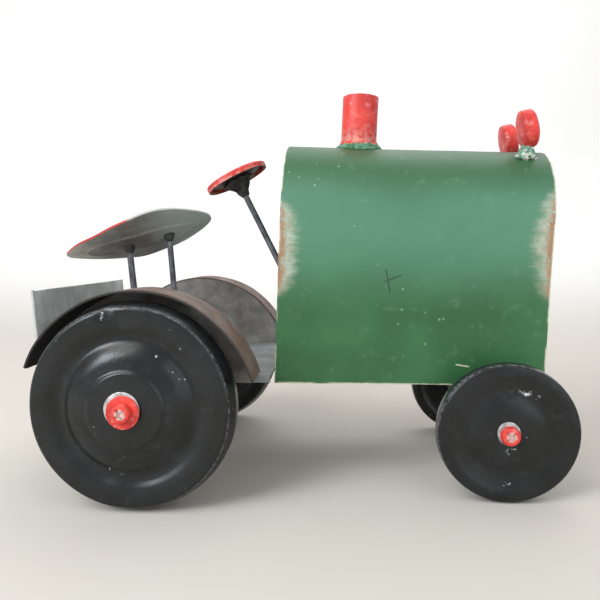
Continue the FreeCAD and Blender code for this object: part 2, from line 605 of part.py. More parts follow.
def make_steering():
    radius, thick = value("Sizes.steer_radius"), value("Sizes.steer_thick")
    sink, skin, rim_width = value("Sizes.steer_sink"), value("Sizes.skin"), value("Sizes.steer_rim")
    step_run, bends = 1.6, [1.6, 0.9, 1.3]  # run of the step inside the rim; bend at each corner
    cap = doc.addObject("Part::Feature", "steering_cap")
    cap.Shape = pressed_sheet(
        [(radius, 0), (radius, thick), (radius - rim_width, thick),
         (radius - rim_width - step_run, thick - sink), (0, thick - sink)],
        bends, skin)
    half = "Sizes.steer_thick / 2"
    rake = "Sizes.steer_rake * 1 deg"
    put(cap, f"Sizes.rear_axle_x + Sizes.steer_ahead - {half} * sin({rake})", 0,
        f"Sizes.steer_up - {half} * cos({rake})", Y_AXIS, "Sizes.steer_rake")
    keep(cap, "steering_wheel")

    under = "(Sizes.steer_sink + Sizes.skin - Sizes.steer_thick / 2)"
    foot = rod("boss_foot", "Sizes.boss_radius", f"Sizes.boss_plate + Sizes.steer_thick / 2 - {under}")
    put_on_column(foot, under)
    cone = sibling("boss_gusset", "Part::Cone")
    bind(cone, Radius1="Sizes.boss_radius - 1.4", Radius2="Sizes.column_radius + 0.8",
         Height="Sizes.boss_cone")
    put_on_column(cone, "Sizes.steer_thick / 2 + Sizes.boss_plate")
    boss = sibling("boss_fused", "Part::Fuse")
    boss.Base = foot
    boss.Tool = cone
    keep(boss, "steering_boss")

    top = "(Sizes.steer_thick / 2 + Sizes.boss_plate + Sizes.boss_cone)"
    column = rod("column_rod", "Sizes.column_radius", f"Sizes.column_end - {top}")
    put_on_column(column, top)
    keep(column, "steering_column")

    bush = tube("bush", "Sizes.bush_radius", "Sizes.column_radius + Sizes.running_gap",
                "Sizes.bush_length")
    put_on_column(bush, "Sizes.bush_start")
    keep(bush, "column_bush")

    collar = tube("collar", "Sizes.collar_radius", "Sizes.column_radius", "Sizes.collar_length")
    put_on_column(collar, "Sizes.bush_start + Sizes.bush_length + Sizes.end_gap")
    keep(collar, "column_collar")

    dash = end_plate("dash_sheet", "Sizes.plate_inset")
    passage = rod("dash_passage", "Sizes.bush_radius", "Sizes.passage_length")
    put_on_column(passage, "Sizes.bush_start - Sizes.passage_lead")
    keep(cut("dash_cut", dash, passage), "dash_plate")


# ---------------------------------------------------------------- wheels
def face_corners(axle, raised):
    """Corners of a pan's outer face, as radius and height, and the radius that rounds each one."""
    face = value(f"Sizes.{axle}_face")
    flat_face = face - 1
    corner = value(f"Sizes.{axle}_corner")
    groove_face = value(f"Sizes.{axle}_groove_face")
    corners = [(value(f"Sizes.{axle}_rim"), 0), (value(f"Sizes.{axle}_rim"), 0.25 * face),
               (value(f"Sizes.{axle}_edge"), face),
               (value(f"Sizes.{axle}_groove_far"), face - 0.2),
               (value(f"Sizes.{axle}_groove"), groove_face)]
    radii = [corner, corner, 1.6, 3.0, 1.6]
    sleeve = value("Sizes.sleeve_radius")
    if not raised:
        return corners + [(value(f"Sizes.{axle}_dome"), flat_face), (sleeve, flat_face)], radii
    dome_face, boss_face = value(f"Sizes.{axle}_dome_face"), value(f"Sizes.{axle}_boss_face")
    boss = value(f"Sizes.{axle}_boss")
    step = [(value(f"Sizes.{axle}_dome"), dome_face),
            (boss + 0.6, 0.65 * boss_face + 0.35 * dome_face), (boss - 0.6, boss_face)]
    return corners + step + [(sleeve, boss_face)], radii + [0.8, 0.8]


def make_wheels():
    for axle, axle_x in (("rear", "Sizes.rear_axle_x"), ("front", FRONT_AXLE_X)):
        up = f"Sizes.{axle}_rim"
        middle = f"Sizes.{axle}_middle"
        for side_name, side in SIDES:
            for pan, raised in (("outer", True), ("inner", False)):
                label = f"{axle}_wheel_{side_name}_{pan}_pan"
                sheet = doc.addObject("Part::Feature", label + "_sheet")
                sheet.Shape = pressed_sheet(*face_corners(axle, raised), value("Sizes.skin"))
                facing = side if raised else -side
                put(sheet, axle_x, f"{side} * {middle}", up, X_AXIS, -90 * facing)
                keep(sheet, label)
            inside = f"Sizes.{axle}_face - 1"
            sleeve = tube(f"{axle}_{side_name}_sleeve", "Sizes.sleeve_radius",
                          "Sizes.axle_radius + Sizes.running_gap",
                          f"Sizes.{axle}_boss_face + {inside}")
            put_along_y(sleeve, axle_x, f"{middle} - ({inside})", up, side)
            keep(sleeve, f"{axle}_wheel_{side_name}_sleeve")


# ---------------------------------------------------------------- axles and their fixings
def make_hanger(label, corners, hole_up, axle_x, face, side):
    """A plate under the deck or hood that carries an axle; corners are from the axle's foot."""
    body = new_body(label)
    sketch = new_sketch(body, "XZ_Plane", label + "_outline")
    outline(sketch, corners)
    round_hole(sketch, "0", hole_up, "Sizes.axle_radius")
    pad(body, sketch, "Sizes.hanger_skin", label + "_sheet", both_ways=True)
    put(body, axle_x, f"{side} * ({face} - Sizes.hanger_skin / 2)", 0)
    keep(body, label)


def make_axles():
    def foot(axle):
        low = f"Sizes.{axle}_rim - Sizes.hanger_drop"
        return [("-Sizes.hanger_foot", low), ("Sizes.hanger_foot", low)]

    under_deck = "Sizes.deck_top - Sizes.deck_skin"
    rear_corners = foot("rear") + [("Sizes.rear_hanger_half", under_deck),
                                   ("-Sizes.rear_hanger_half", under_deck)]
    front_corners = foot("front") + [
        ("Sizes.front_hanger_ahead", "Sizes.hood_foot + Sizes.hanger_lap"),
        ("-Sizes.front_hanger_behind", "Sizes.hood_foot + Sizes.hanger_lap")]
    rows = (("rear", "Sizes.rear_axle_x", rear_corners, "Sizes.rear_hanger", "Sizes.rear_hanger"),
            ("front", FRONT_AXLE_X, front_corners, "(Sizes.hood_half - Sizes.skin)",
             "(Sizes.hood_half - Sizes.skin)"))
    for axle, axle_x, corners, hanger_face, spacer_start in rows:
        up = f"Sizes.{axle}_rim"
        tip = f"(Sizes.{axle}_middle + Sizes.{axle}_boss_face + Sizes.end_gap)"
        shaft = rod(f"{axle}_shaft", "Sizes.axle_radius", f"2 * {tip}")
        put_along_y(shaft, axle_x, f"-{tip}", up, 1)
        for side_name, side in SIDES:
            hole = rod(f"{axle}_{side_name}_tapping", "Sizes.tapped_radius", "Sizes.tapped_depth + 1")
            put_along_y(hole, axle_x, f"{tip} - Sizes.tapped_depth", up, side)
            shaft = cut(f"{axle}_shaft_{side_name}", shaft, hole)
        keep(shaft, f"{axle}_axle")
        for side_name, side in SIDES:
            make_hanger(f"{axle}_hanger_{side_name}", corners, up, axle_x, hanger_face, side)
            spacer = tube(f"{axle}_{side_name}_spacer", "Sizes.spacer_radius", "Sizes.axle_radius",
                          f"Sizes.{axle}_middle - Sizes.{axle}_face + 1 - Sizes.end_gap"
                          f" - {spacer_start}")
            put_along_y(spacer, axle_x, spacer_start, up, side)
            keep(spacer, f"{axle}_spacer_{side_name}")
            make_fixings(axle, axle_x, up, tip, side_name, side)


def make_fixings(axle, axle_x, up, tip, side_name, side):
    """Washers and the cross-head screw that hold a wheel on its axle's end."""
    washers = ("big_washer", "red_washer") if axle == "rear" else ("front_washer",)
    start = tip
    for washer in washers:
        ring = tube(f"{washer}_{side_name}", f"Sizes.{washer}_radius", "Sizes.tapped_radius",
                    "Sizes.washer_skin")
        put_along_y(ring, axle_x, start, up, side)
        keep(ring, f"{axle}_{washer.replace('front_', '')}_{side_name}")
        start = f"{start} + Sizes.washer_skin"

    label = f"{axle}_screw_{side_name}"
    drop = f"{len(washers)} * Sizes.washer_skin + Sizes.shank_length"
    head = rod(label + "_head", "Sizes.head_radius", "Sizes.head_height")
    put(head, z=drop)
    doc.recompute()
    domed = sibling(label + "_domed", "Part::Fillet")
    domed.Base = head
    top = [number for number, edge in enumerate(head.Shape.Edges, start=1)
           if len(edge.Vertexes) == 1 and edge.CenterOfMass.z > value(drop) + 1]
    bend = value("Sizes.head_round")
    domed.Edges = [(number, bend, bend) for number in top]
    shank = rod(label + "_shank", "Sizes.tapped_radius", drop)
    whole = sibling(label + "_whole", "Part::Fuse")
    whole.Base = domed
    whole.Tool = shank
    for turn, name in ((0, "slot"), (90, "cross_slot")):
        bar = sibling(f"{label}_{name}", "Part::Box")
        bind(bar, Length="Sizes.cross_length", Width="Sizes.cross_width", Height="Sizes.cross_depth + 1")
        low = f"{drop} + Sizes.head_height - Sizes.cross_depth"
        if turn:
            put(bar, "Sizes.cross_width / 2", "-Sizes.cross_length / 2", low, turn=turn)
        else:
            put(bar, "-Sizes.cross_length / 2", "-Sizes.cross_width / 2", low, turn=turn)
        whole = cut(f"{label}_{name}_cut", whole, bar)
    put_along_y(whole, axle_x, f"{tip} - Sizes.shank_length", up, side)
    keep(whole, label)


# ---------------------------------------------------------------- build, check and write
make_hood()
keep(end_plate("grille_sheet", "Sizes.hood_length - Sizes.plate_inset - Sizes.skin"), "grille_plate")
make_stack()
make_headlights()
make_deck()
make_fenders()
make_tail()
make_seat()
make_steering()
make_wheels()
make_axles()
doc.recompute()

for thing in doc.Objects:
    if "Invalid" in thing.State or "Error" in thing.State:
        raise RuntimeError(f"{thing.Label} failed: {thing.State}")
whole_box = FreeCAD.BoundBox()
for part in parts:
    shape = part.Shape
    if shape.isNull() or not shape.isValid() or not shape.Solids:
        raise RuntimeError(f"{part.Label} has no valid solid")
    whole_box.add(shape.optimalBoundingBox(False))
for part in parts:
    part.Shape.exportStep(f"parts/{part.Label}.step")
print(f"{len(parts)} parts; X {whole_box.XMin:.2f} to {whole_box.XMax:.2f}, "
      f"Y {whole_box.YMin:.2f} to {whole_box.YMax:.2f}, Z {whole_box.ZMin:.2f} to {whole_box.ZMax:.2f}")
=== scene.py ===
# Toy tractor of welded sheet metal: its looks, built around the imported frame.
# +X is forward, -Y is the near side.
# Sizes in the dictionaries are millimetres, and makePiece turns them into metres.
import math
import bpy
from mathutils import Matrix, Vector, noise


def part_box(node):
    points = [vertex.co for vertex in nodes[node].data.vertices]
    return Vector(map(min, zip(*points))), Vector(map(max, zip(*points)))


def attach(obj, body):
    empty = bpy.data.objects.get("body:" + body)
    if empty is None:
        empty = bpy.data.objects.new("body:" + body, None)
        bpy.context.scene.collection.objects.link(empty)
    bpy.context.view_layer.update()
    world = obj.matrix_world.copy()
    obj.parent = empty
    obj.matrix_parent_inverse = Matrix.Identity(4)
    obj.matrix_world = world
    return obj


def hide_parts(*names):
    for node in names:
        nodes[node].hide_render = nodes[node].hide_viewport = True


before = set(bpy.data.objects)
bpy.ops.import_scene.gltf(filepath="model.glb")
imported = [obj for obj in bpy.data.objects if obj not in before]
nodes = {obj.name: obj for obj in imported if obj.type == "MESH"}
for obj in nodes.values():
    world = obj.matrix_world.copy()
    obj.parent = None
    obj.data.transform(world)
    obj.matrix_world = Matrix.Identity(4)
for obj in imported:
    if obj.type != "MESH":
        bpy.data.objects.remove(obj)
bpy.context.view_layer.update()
mm = 0.001
print("frame: loaded", len(nodes), "nodes")


# shader maths: a wire is one output of a node, and sums of wires add Math nodes
class Wire:
    def __init__(self, tree, socket=None):
        self.tree = tree
        self.socket = socket

    def node(self, kind, settings=None, inputs=None, output=0):
        made = self.tree.nodes.new("ShaderNode" + kind)
        for name, choice in (settings or {}).items():
            if name == "stops":
                ramp = made.color_ramp
                while len(ramp.elements) < len(choice):
                    ramp.elements.new(0.5)
                for element, (place, colour) in zip(ramp.elements, choice):
                    element.position = place
                    element.color = (*colour, 1)
            else:
                setattr(made, name, choice)
        for name, given in (inputs or {}).items():
            if isinstance(given, Wire):
                self.tree.links.new(given.socket, made.inputs[name])
            elif isinstance(given, tuple) and len(given) == 3 and len(made.inputs[name].default_value) == 4:
                made.inputs[name].default_value = (*given, 1)
            else:
                made.inputs[name].default_value = given
        return Wire(self.tree, made.outputs[output] if len(made.outputs) else None)

    def math(self, operation, first, second=0.0):
        return self.node("Math", {"operation": operation}, {0: first, 1: second})

    def __add__(self, other):
        return self.math("ADD", self, other)

    def __radd__(self, other):
        return self.math("ADD", other, self)

    def __sub__(self, other):
        return self.math("SUBTRACT", self, other)

    def __rsub__(self, other):
        return self.math("SUBTRACT", other, self)

    def __mul__(self, other):
        return self.math("MULTIPLY", self, other)

    def __rmul__(self, other):
        return self.math("MULTIPLY", other, self)

    def __truediv__(self, other):
        return self.math("DIVIDE", self, other)

    def __rtruediv__(self, other):
        return self.math("DIVIDE", other, self)

    def __pow__(self, other):
        return self.math("POWER", self, other)

    def size(self):
        return self.math("ABSOLUTE", self)

    def least(self, other):
        return self.math("MINIMUM", self, other)

    def most(self, other):
        return self.math("MAXIMUM", self, other)

    def rise(self, start, end):  # 0 before start, 1 past end, smooth between
        return self.node("MapRange", {"interpolation_type": "SMOOTHSTEP"},
            {0: self, 1: start, 2: end, 3: 0.0, 4: 1.0})

    def spot(self):  # where on the object, in metres
        return self.node("TexCoord", output="Object")

    def grain(self, scale, detail=3.0, roughness=0.55, stretch=(1, 1, 1), shift=(0, 0, 0)):
        place = self.node("Mapping", None, {"Vector": self.spot(), "Scale": stretch, "Location": shift})
        return self.node("TexNoise", None,
            {"Vector": place, "Scale": scale, "Detail": detail, "Roughness": roughness})

    def flecks(self, scale, reach, shift=(0, 0, 0)):  # small round spots, 1 in their middles
        place = self.node("Mapping", None, {"Vector": self.spot(), "Location": shift})
        return 1 - self.node("TexVoronoi", None, {"Vector": place, "Scale": scale}).rise(reach * 0.5, reach)

    def tint(self, share, under, over):
        return self.node("Mix", {"data_type": "RGBA"}, {0: share, 6: under, 7: over}, 2)

    def bump(self, height, strength, distance=0.001):
        return self.node("Bump", None, {"Height": height, "Strength": strength, "Distance": distance})

    def axes(self, place=None):
        place = place or self.spot()
        return [self.node("SeparateXYZ", None, {0: place}, output) for output in range(3)]


def finishOf(name, recipe, **choices):
    material = bpy.data.materials.new(name)
    material.use_nodes = True
    material.node_tree.nodes.clear()
    start = Wire(material.node_tree)
    shader = start.node("BsdfPrincipled", None, recipe(start, **choices))
    start.node("OutputMaterial", None, {"Surface": shader})
    return material


def shade(red, green, blue):  # a colour as seen on a screen, 0 to 255, to the shader's scale
    return tuple(round(((c / 255 + 0.055) / 1.055) ** 2.4 if c > 10 else c / 3294.6, 5) for c in (red,
        green, blue))


# mesh helpers
def makePiece(name, points, faces, body, materials, stands=(), which=None, sharp=40, bevel=0.0,
    solid=0.0):
    mesh = bpy.data.meshes.new(name)
    mesh.from_pydata([Vector(p) * mm for p in points], [], faces)
    mesh.validate()
    for material in materials:
        mesh.materials.append(material)
    if which:
        for polygon in mesh.polygons:
            polygon.material_index = which(polygon.center / mm, polygon.normal)
    mesh.shade_smooth()
    mesh.set_sharp_from_angle(angle=math.radians(sharp))
    piece = bpy.data.objects.new(name, mesh)
    bpy.context.scene.collection.objects.link(piece)
    if solid:
        thicker = piece.modifiers.new("sheet", "SOLIDIFY")
        thicker.thickness = solid * mm
        thicker.offset = -1
    if bevel:
        softer = piece.modifiers.new("edges", "BEVEL")
        softer.width = bevel * mm
        softer.segments = 2
        softer.limit_method = "ANGLE"
        softer.angle_limit = math.radians(50)
        softer.harden_normals = True
    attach(piece, body)
    if stands:
        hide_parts(*stands)
    return piece


def cadSpan(node):  # a CAD node's box in millimetres
    low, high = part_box(node)
    return low / mm, high / mm


def rounded(path, radii, steps=5):  # the path with its inner corners eased
    line = [Vector(path[0])]
    for before, corner, after, radius in zip(path, path[1:], path[2:], radii):
        before, corner, after = Vector(before), Vector(corner), Vector(after)
        reach = min(radius, (before - corner).length * 0.48, (after - corner).length * 0.48)
        start = corner + (before - corner).normalized() * reach
        end = corner + (after - corner).normalized() * reach
        for index in range(steps + 1):
            t = index / steps
            line.append(start * (1 - t) ** 2 + corner * 2 * t * (1 - t) + end * t * t)
    line.append(Vector(path[-1]))
    return line


def thickened(path, skin):  # a closed section: the path and the same path one skin inside
    inner = []
    for index, point in enumerate(path):
        along = path[min(index + 1, len(path) - 1)] - path[max(index - 1, 0)]
        inner.append(point + Vector((along.y, -along.x)).normalized() * -skin)
    return list(path) + inner[::-1]


def spun(section, origin, axis, shape=None, turns=96, start=None):
    # a closed section of (radius, height) turned about an axis; shape moves each point
    axis = Vector(axis).normalized()
    across = (start or (Vector((0, 0, 1)) if abs(axis.z) < 0.9 else Vector((1, 0, 0))))
    across = (across - axis * across.dot(axis)).normalized()
    side = axis.cross(across)
    points, rings = [], []
    for radius, height in section:
        ring = []
        count = turns if radius > 0.02 else 1
        for index in range(count):
            angle = 2 * math.pi * index / turns
            r, h = shape(radius, height, angle) if shape else (radius, height)
            if count == 1:
                r = 0
            ring.append(len(points))
            points.append(Vector(origin) + axis * h + (across * math.cos(angle) + side * math.sin(angle))
                * r)
        rings.append(ring)
    faces = []
    closed = len(rings[0]) > 1 or len(rings[-1]) > 1
    pairs = list(zip(rings, rings[1:]))
    if closed and not (len(rings[0]) == 1 or len(rings[-1]) == 1):
        pairs.append((rings[-1], rings[0]))
    for first, second in pairs:
        if len(first) == 1 and len(second) == 1:
            continue
        for index in range(turns):
            following = (index + 1) % turns
            if len(first) == 1:
                faces.append((first[0], second[following], second[index]))
            elif len(second) == 1:
                faces.append((first[index], first[following], second[0]))
            else:
                faces.append((first[index], first[following], second[following], second[index]))
    return points, faces


def lumps(place, size, seed=0):  # smooth noise from about -1 to 1
    return noise.noise(Vector(place) / size + Vector((seed * 7.13, seed * 3.7, seed * 1.9)))


def bell(distance, width):
    return math.exp(-(distance / width) ** 2)


def turnGap(angle, middle):  # shortest way from one angle to another
    return (angle - middle + math.pi) % (2 * math.pi) - math.pi


# finishes
def greenEnamel(w, edges=True):
    x, y, z = w.axes()
    soft = w.grain(26, 4)
    cloudy = w.grain(9, 2, shift=(3, 1, 0))
    fine = w.grain(700, 2)
    base = w.tint(soft.rise(0.3, 0.7), greenLook["deep"], greenLook["mid"])
    level = z + cloudy * 0.03
    # painted reflection: a bluish-green band low on the arch, standing in for the window light reflected
    # there
    base = w.tint(level.rise(0.10, 0.155) * 0.66, base, greenLook["hazy"])
    # painted shade: the top of the arch is tinted a darker green
    base = w.tint(level.rise(0.158, 0.19) * 0.85, base, greenLook["crown"])
    base = w.tint(w.grain(120, 4, 0.7).rise(0.56, 0.74) * 0.25, base, greenLook["pale"])
    if not edges:
        return {"Base Color": base, "Roughness": 0.46, "Normal": w.bump(fine, 0.12, 0.0004)}
    dip = math.radians(hoodLook["dip"])
    along = (x - hoodLook["rearX"] * mm) * math.cos(dip) - (z - hoodLook["baseZ"] * mm) * math.sin(dip)
    ends = ((along, hoodLook["rearBurnZ"], (0, 0, 0)),
        (hoodLook["length"] * mm - along, hoodLook["frontBurnZ"], (5, 2, 1)))
    rough = 0.40 + soft * 0.12
    for distance, (low, high), shift in ends:
        middle, half = (low + high) / 2 * mm, (high - low) / 2 * mm
        comb = w.grain(240, 4, 0.7, stretch=(0.25, 0.25, 1.3), shift=shift)
        ragged = w.grain(420, 3, 0.75, shift=shift)
        inside = 1 - ((z - middle).size() / half) ** 2.2 + (ragged - 0.5) * 0.5
        reach = (inside.most(0.0) ** 0.75) * (0.35 + comb * 1.25) * 0.0105
        ash = (reach - distance).rise(-0.0034, 0.0062) * inside.rise(0.0, 0.45)
        brown = (reach * 0.36 - distance).rise(-0.0018, 0.0022) * inside.rise(0.12, 0.5) * ragged.rise(0.3,
            0.52)
        patch = w.tint(w.grain(160, 4, 0.7, shift=shift).rise(0.35, 0.65), greenLook["ash"],
            greenLook["ashWarm"])
        base = w.tint((ash * (0.35 + comb * 0.6)).least(0.78), base, patch)
        base = w.tint((brown * 0.85).least(0.85), base,
            w.tint(ragged.rise(0.35, 0.62), greenLook["rust"], greenLook["amber"]))
        rough = rough + ash * 0.25
        bare = (0.0011 - distance + (ragged - 0.5) * 0.0012).rise(0.0, 0.0005) * w.grain(90, 2,
            shift=shift).rise(0.42, 0.6)
        base = w.tint(bare * 0.7, base, greenLook["cream"])
    foot = (hoodLook["footZ"] * mm + 0.0009 - z + (fine - 0.5) * 0.0008).rise(0.0, 0.0005)
    base = w.tint(foot * w.grain(60, 3).rise(0.3, 0.55) * 0.85, base, greenLook["cream"])
    near = 1 - (y + 0.036).rise(0.0, 0.002)
    marks = []
    for (x0, z0), (x1, z1), width in hoodLook["scratches"]:
        run, lift = (x1 - x0) * mm, (z1 - z0) * mm
        length = math.hypot(run, lift)
        onto = ((x - x0 * mm) * (run / length) + (z - z0 * mm) * (lift / length))
        off = ((x - x0 * mm) * (lift / length) - (z - z0 * mm) * (run / length)).size()
        span = onto.rise(-0.0006, 0.0004) * (1 - onto.rise(length - 0.0004, length + 0.0006))
        marks.append((1 - (off + (fine - 0.5) * 0.0004).rise(width * mm * 0.5, width * mm)) * span * near)
    for mark in marks[:-1]:
        base = w.tint(mark * 0.85, base, greenLook["scratch"])
    base = w.tint(marks[-1] * 0.8, base, greenLook["cream"])
    chips = w.flecks(150, 0.14) * w.grain(14, 2, shift=(2, 2, 2)).rise(0.6, 0.66)
    base = w.tint(chips * 0.8, base, greenLook["pale"])
    height = fine * 0.35 + w.grain(60, 3) * 1.2
    return {"Base Color": base, "Roughness": rough.least(0.85), "Normal": w.bump(height, 0.16, 0.0005)}


greenLook = {
    # the bluish green after mid is the hood's painted sheen; the weld bead and stubs use it as a random
    # paler green
    "deep": shade(38, 86, 46), "mid": shade(48, 102, 58), "hazy": shade(88, 138, 114),
    # the darker green that opens the next line is the painted shade on the arch's top
    "crown": shade(42, 84, 46), "pale": shade(112, 150, 118),
    "ash": shade(196, 198, 184), "ashWarm": shade(176, 164, 142), "rust": shade(118, 74, 46),
    "amber": shade(164, 112, 70), "cream": shade(206, 204, 176), "scratch": shade(26, 44, 32),
}


def redEnamel(w, chalk=0.5, seed=0):
    shift = (seed, seed * 2, 0)
    base = w.tint(w.grain(90, 4, 0.6, shift=shift).rise(0.35, 0.7), redLook["deep"], redLook["bright"])
    base = w.tint(w.grain(240, 4, 0.7, shift=shift).rise(0.5, 0.75) * chalk, base, redLook["chalk"])
    base = w.tint(w.flecks(260, 0.16, shift) * w.grain(70, 2, shift=shift).rise(0.5, 0.62) * 0.6, base,
        redLook["dark"])
    edge = w.node("NewGeometry", output="Pointiness").rise(0.53, 0.6)
    base = w.tint(edge * w.grain(300, 3, shift=shift).rise(0.4, 0.55) * 0.55, base, redLook["worn"])
    fine = w.grain(900, 2) + w.grain(120, 3) * 0.6
    return {"Base Color": base, "Roughness": 0.38 + w.grain(80, 3, shift=shift) * 0.25,
        "Normal": w.bump(fine, 0.18, 0.0003)}


redLook = {
    "deep": shade(186, 40, 34), "bright": shade(222, 62, 50), "chalk": shade(232, 150, 144),
    "dark": shade(112, 26, 24), "worn": shade(226, 176, 160),
}


def blackEnamel(w, axle=(0, 0), edge=40.0, seed=0, chips=()):
    shift = (seed * 1.7, 0, seed)
    x, y, z = w.axes()
    base = w.tint(w.grain(40, 4, 0.65, shift=shift).rise(0.35, 0.7), blackLook["deep"], blackLook["mid"])
    base = w.tint(w.grain(160, 5, 0.75, shift=shift).rise(0.55, 0.8) * 0.5, base, blackLook["dusty"])
    out = (((x - axle[0] * mm) ** 2.0 + (z - axle[1] * mm) ** 2.0) ** 0.5)
    rings = w.node("TexNoise", {"noise_dimensions": "1D"},
        {"W": out, "Scale": 900.0, "Detail": 2.0}).rise(0.5, 0.8)
    rough = 0.19 + w.grain(55, 4, 0.6, shift=shift) * 0.16 + rings * 0.05
    specks = w.flecks(230, 0.11, shift) * w.grain(45, 2, shift=shift).rise(0.58, 0.64)
    base = w.tint(specks * 0.85, base, blackLook["bare"])
    ragged = w.grain(520, 4, 0.75, shift=shift)
    bare = specks
    for chipX, chipZ, reachX, reachZ in chips:
        near = ((x - chipX * mm) / (reachX * mm)) ** 2.0 + ((z - chipZ * mm) / (reachZ * mm)) ** 2.0
        chip = (1.15 - near).rise(0.0, 0.8) * ragged.rise(0.52, 0.58)
        base = w.tint(chip * 0.95, base,
            w.tint(ragged.rise(0.55, 0.7), blackLook["bare"], blackLook["bright"]))
        bare = bare.most(chip)
    worn = (1 - (out - edge * mm).size().rise(0.0001, 0.00045)) * ragged.rise(0.42, 0.6)
    base = w.tint(worn * 0.55, base, blackLook["worn"])
    height = w.grain(800, 2) * 0.4 + w.grain(70, 4, shift=shift) * 1.4 - bare * 0.6
    return {"Base Color": base, "Roughness": rough, "Specular IOR Level": 0.36,
        "Normal": w.bump(height, 0.22, 0.0005)}


blackLook = {
    "deep": shade(20, 21, 21), "mid": shade(30, 32, 33), "dusty": shade(58, 62, 68),
    "bare": shade(178, 178, 182), "bright": shade(232, 230, 228), "worn": shade(132, 132, 136),
}


def agedSteel(w, dark=(0, 0, 0), light=(1, 1, 1), warm=(0.5, 0.4, 0.3), warmth=0.4, metal=0.6, rough=0.42,
    scale=60, stretch=(1, 1, 1), streaks=0.0):
    mottled = w.grain(scale, 5, 0.65, stretch=stretch)
    base = w.tint(mottled.rise(0.3, 0.7), dark, light)
    patch = w.grain(scale * 0.45, 4, 0.7, shift=(4, 4, 4)).rise(0.42, 0.68)
    base = w.tint(patch * warmth, base, warm)
    if streaks:
        line = w.grain(scale * 2, 3, 0.6, stretch=(1, 1, 0.06)).rise(0.55, 0.75)
        base = w.tint(line * streaks, base, light)
    dots = w.flecks(420, 0.2) * w.grain(110, 2, shift=(1, 5, 2)).rise(0.5, 0.6)
    base = w.tint(dots * 0.4, base, dark)
    height = w.grain(650, 3, 0.7) * 0.5 + mottled
    return {"Base Color": base, "Metallic": metal - patch * (metal * 0.6),
        "Roughness": (rough + patch * 0.25 + mottled * 0.12).least(0.95),
            "Normal": w.bump(height, 0.25, 0.0005)}


hoodLook = {
    "rearX": -10.54, "baseZ": 56.6, "dip": 2.5, "length": 144.8, "half": 40.6, "spring": 92.1,
    "footZ": 54.4, "skin": 1.2,
    "rearBurnZ": (100.0, 156.0), "frontBurnZ": (97.0, 160.0),
    "scratches": [((50.5, 117.0), (52.7, 104.2), 0.42), ((49.5, 110.1), (59.0, 113.8), 0.42),
        ((88.1, 65.6), (94.9, 64.6), 0.5)],
}
finishes = {
    "hood": finishOf("greenHood", greenEnamel),
    "green": finishOf("greenPaint", greenEnamel, edges=False),
    "red": finishOf("redPaint", redEnamel),
    "redChalky": finishOf("redChalkyPaint", redEnamel, chalk=0.9, seed=3),
    "dark": finishOf("darkSteel", agedSteel, dark=shade(62, 62, 66), light=shade(128, 128, 134),
        warm=shade(70, 58, 52), warmth=0.3, metal=0.75, rough=0.3, scale=150),
    "weld": finishOf("weldSteel", agedSteel, dark=shade(38, 36, 36), light=shade(86, 84, 84),
        warm=shade(62, 48, 40), warmth=0.5, metal=0.5, rough=0.5, scale=260),
    "plate": finishOf("fenderSteel", agedSteel, dark=shade(102, 96, 92), light=shade(152, 148, 144),
        warm=shade(112, 94, 82), warmth=0.5, metal=0.25, rough=0.5, scale=55),
    "tail": finishOf("tailSheet", agedSteel, dark=shade(150, 154, 154), light=shade(192, 196, 196),
        warm=shade(160, 152, 144), warmth=0.3, metal=0.2, rough=0.5, scale=45, streaks=0.35),
    "grey": finishOf("greySheet", agedSteel, dark=shade(118, 124, 124), light=shade(158, 164, 164),
        warm=shade(132, 126, 118), warmth=0.3, metal=0.3, rough=0.46, scale=45, streaks=0.35),
    "zinc": finishOf("zincWasher", agedSteel, dark=shade(150, 150, 152), light=shade(226, 224, 222),
        warm=shade(120, 116, 112), warmth=0.45, metal=0.55, rough=0.34, scale=420),
    # painted shade: the inside of the stack is painted near black, standing in for the shade down the tube
    "inside": finishOf("stackInsideShade", agedSteel, dark=shade(28, 27, 27), light=shade(58, 56, 55),
        warm=shade(52, 36, 32), warmth=0.4, metal=0.2, rough=0.6, scale=160),
}
print("finishes: made", len(finishes))


# hood: a bent sheet with a little hand-made wave in it
def hoodPoint(along, across, up):
    dip = math.radians(hoodLook["dip"])
    return Vector((hoodLook["rearX"] + along * math.cos(dip) + up * math.sin(dip), across,
                   hoodLook["baseZ"] - along * math.sin(dip) + up * math.cos(dip)))


def hoodFrameAxes():
    return (hoodPoint(1, 0, 0) - hoodPoint(0, 0, 0)), (hoodPoint(0, 0, 1) - hoodPoint(0, 0, 0))


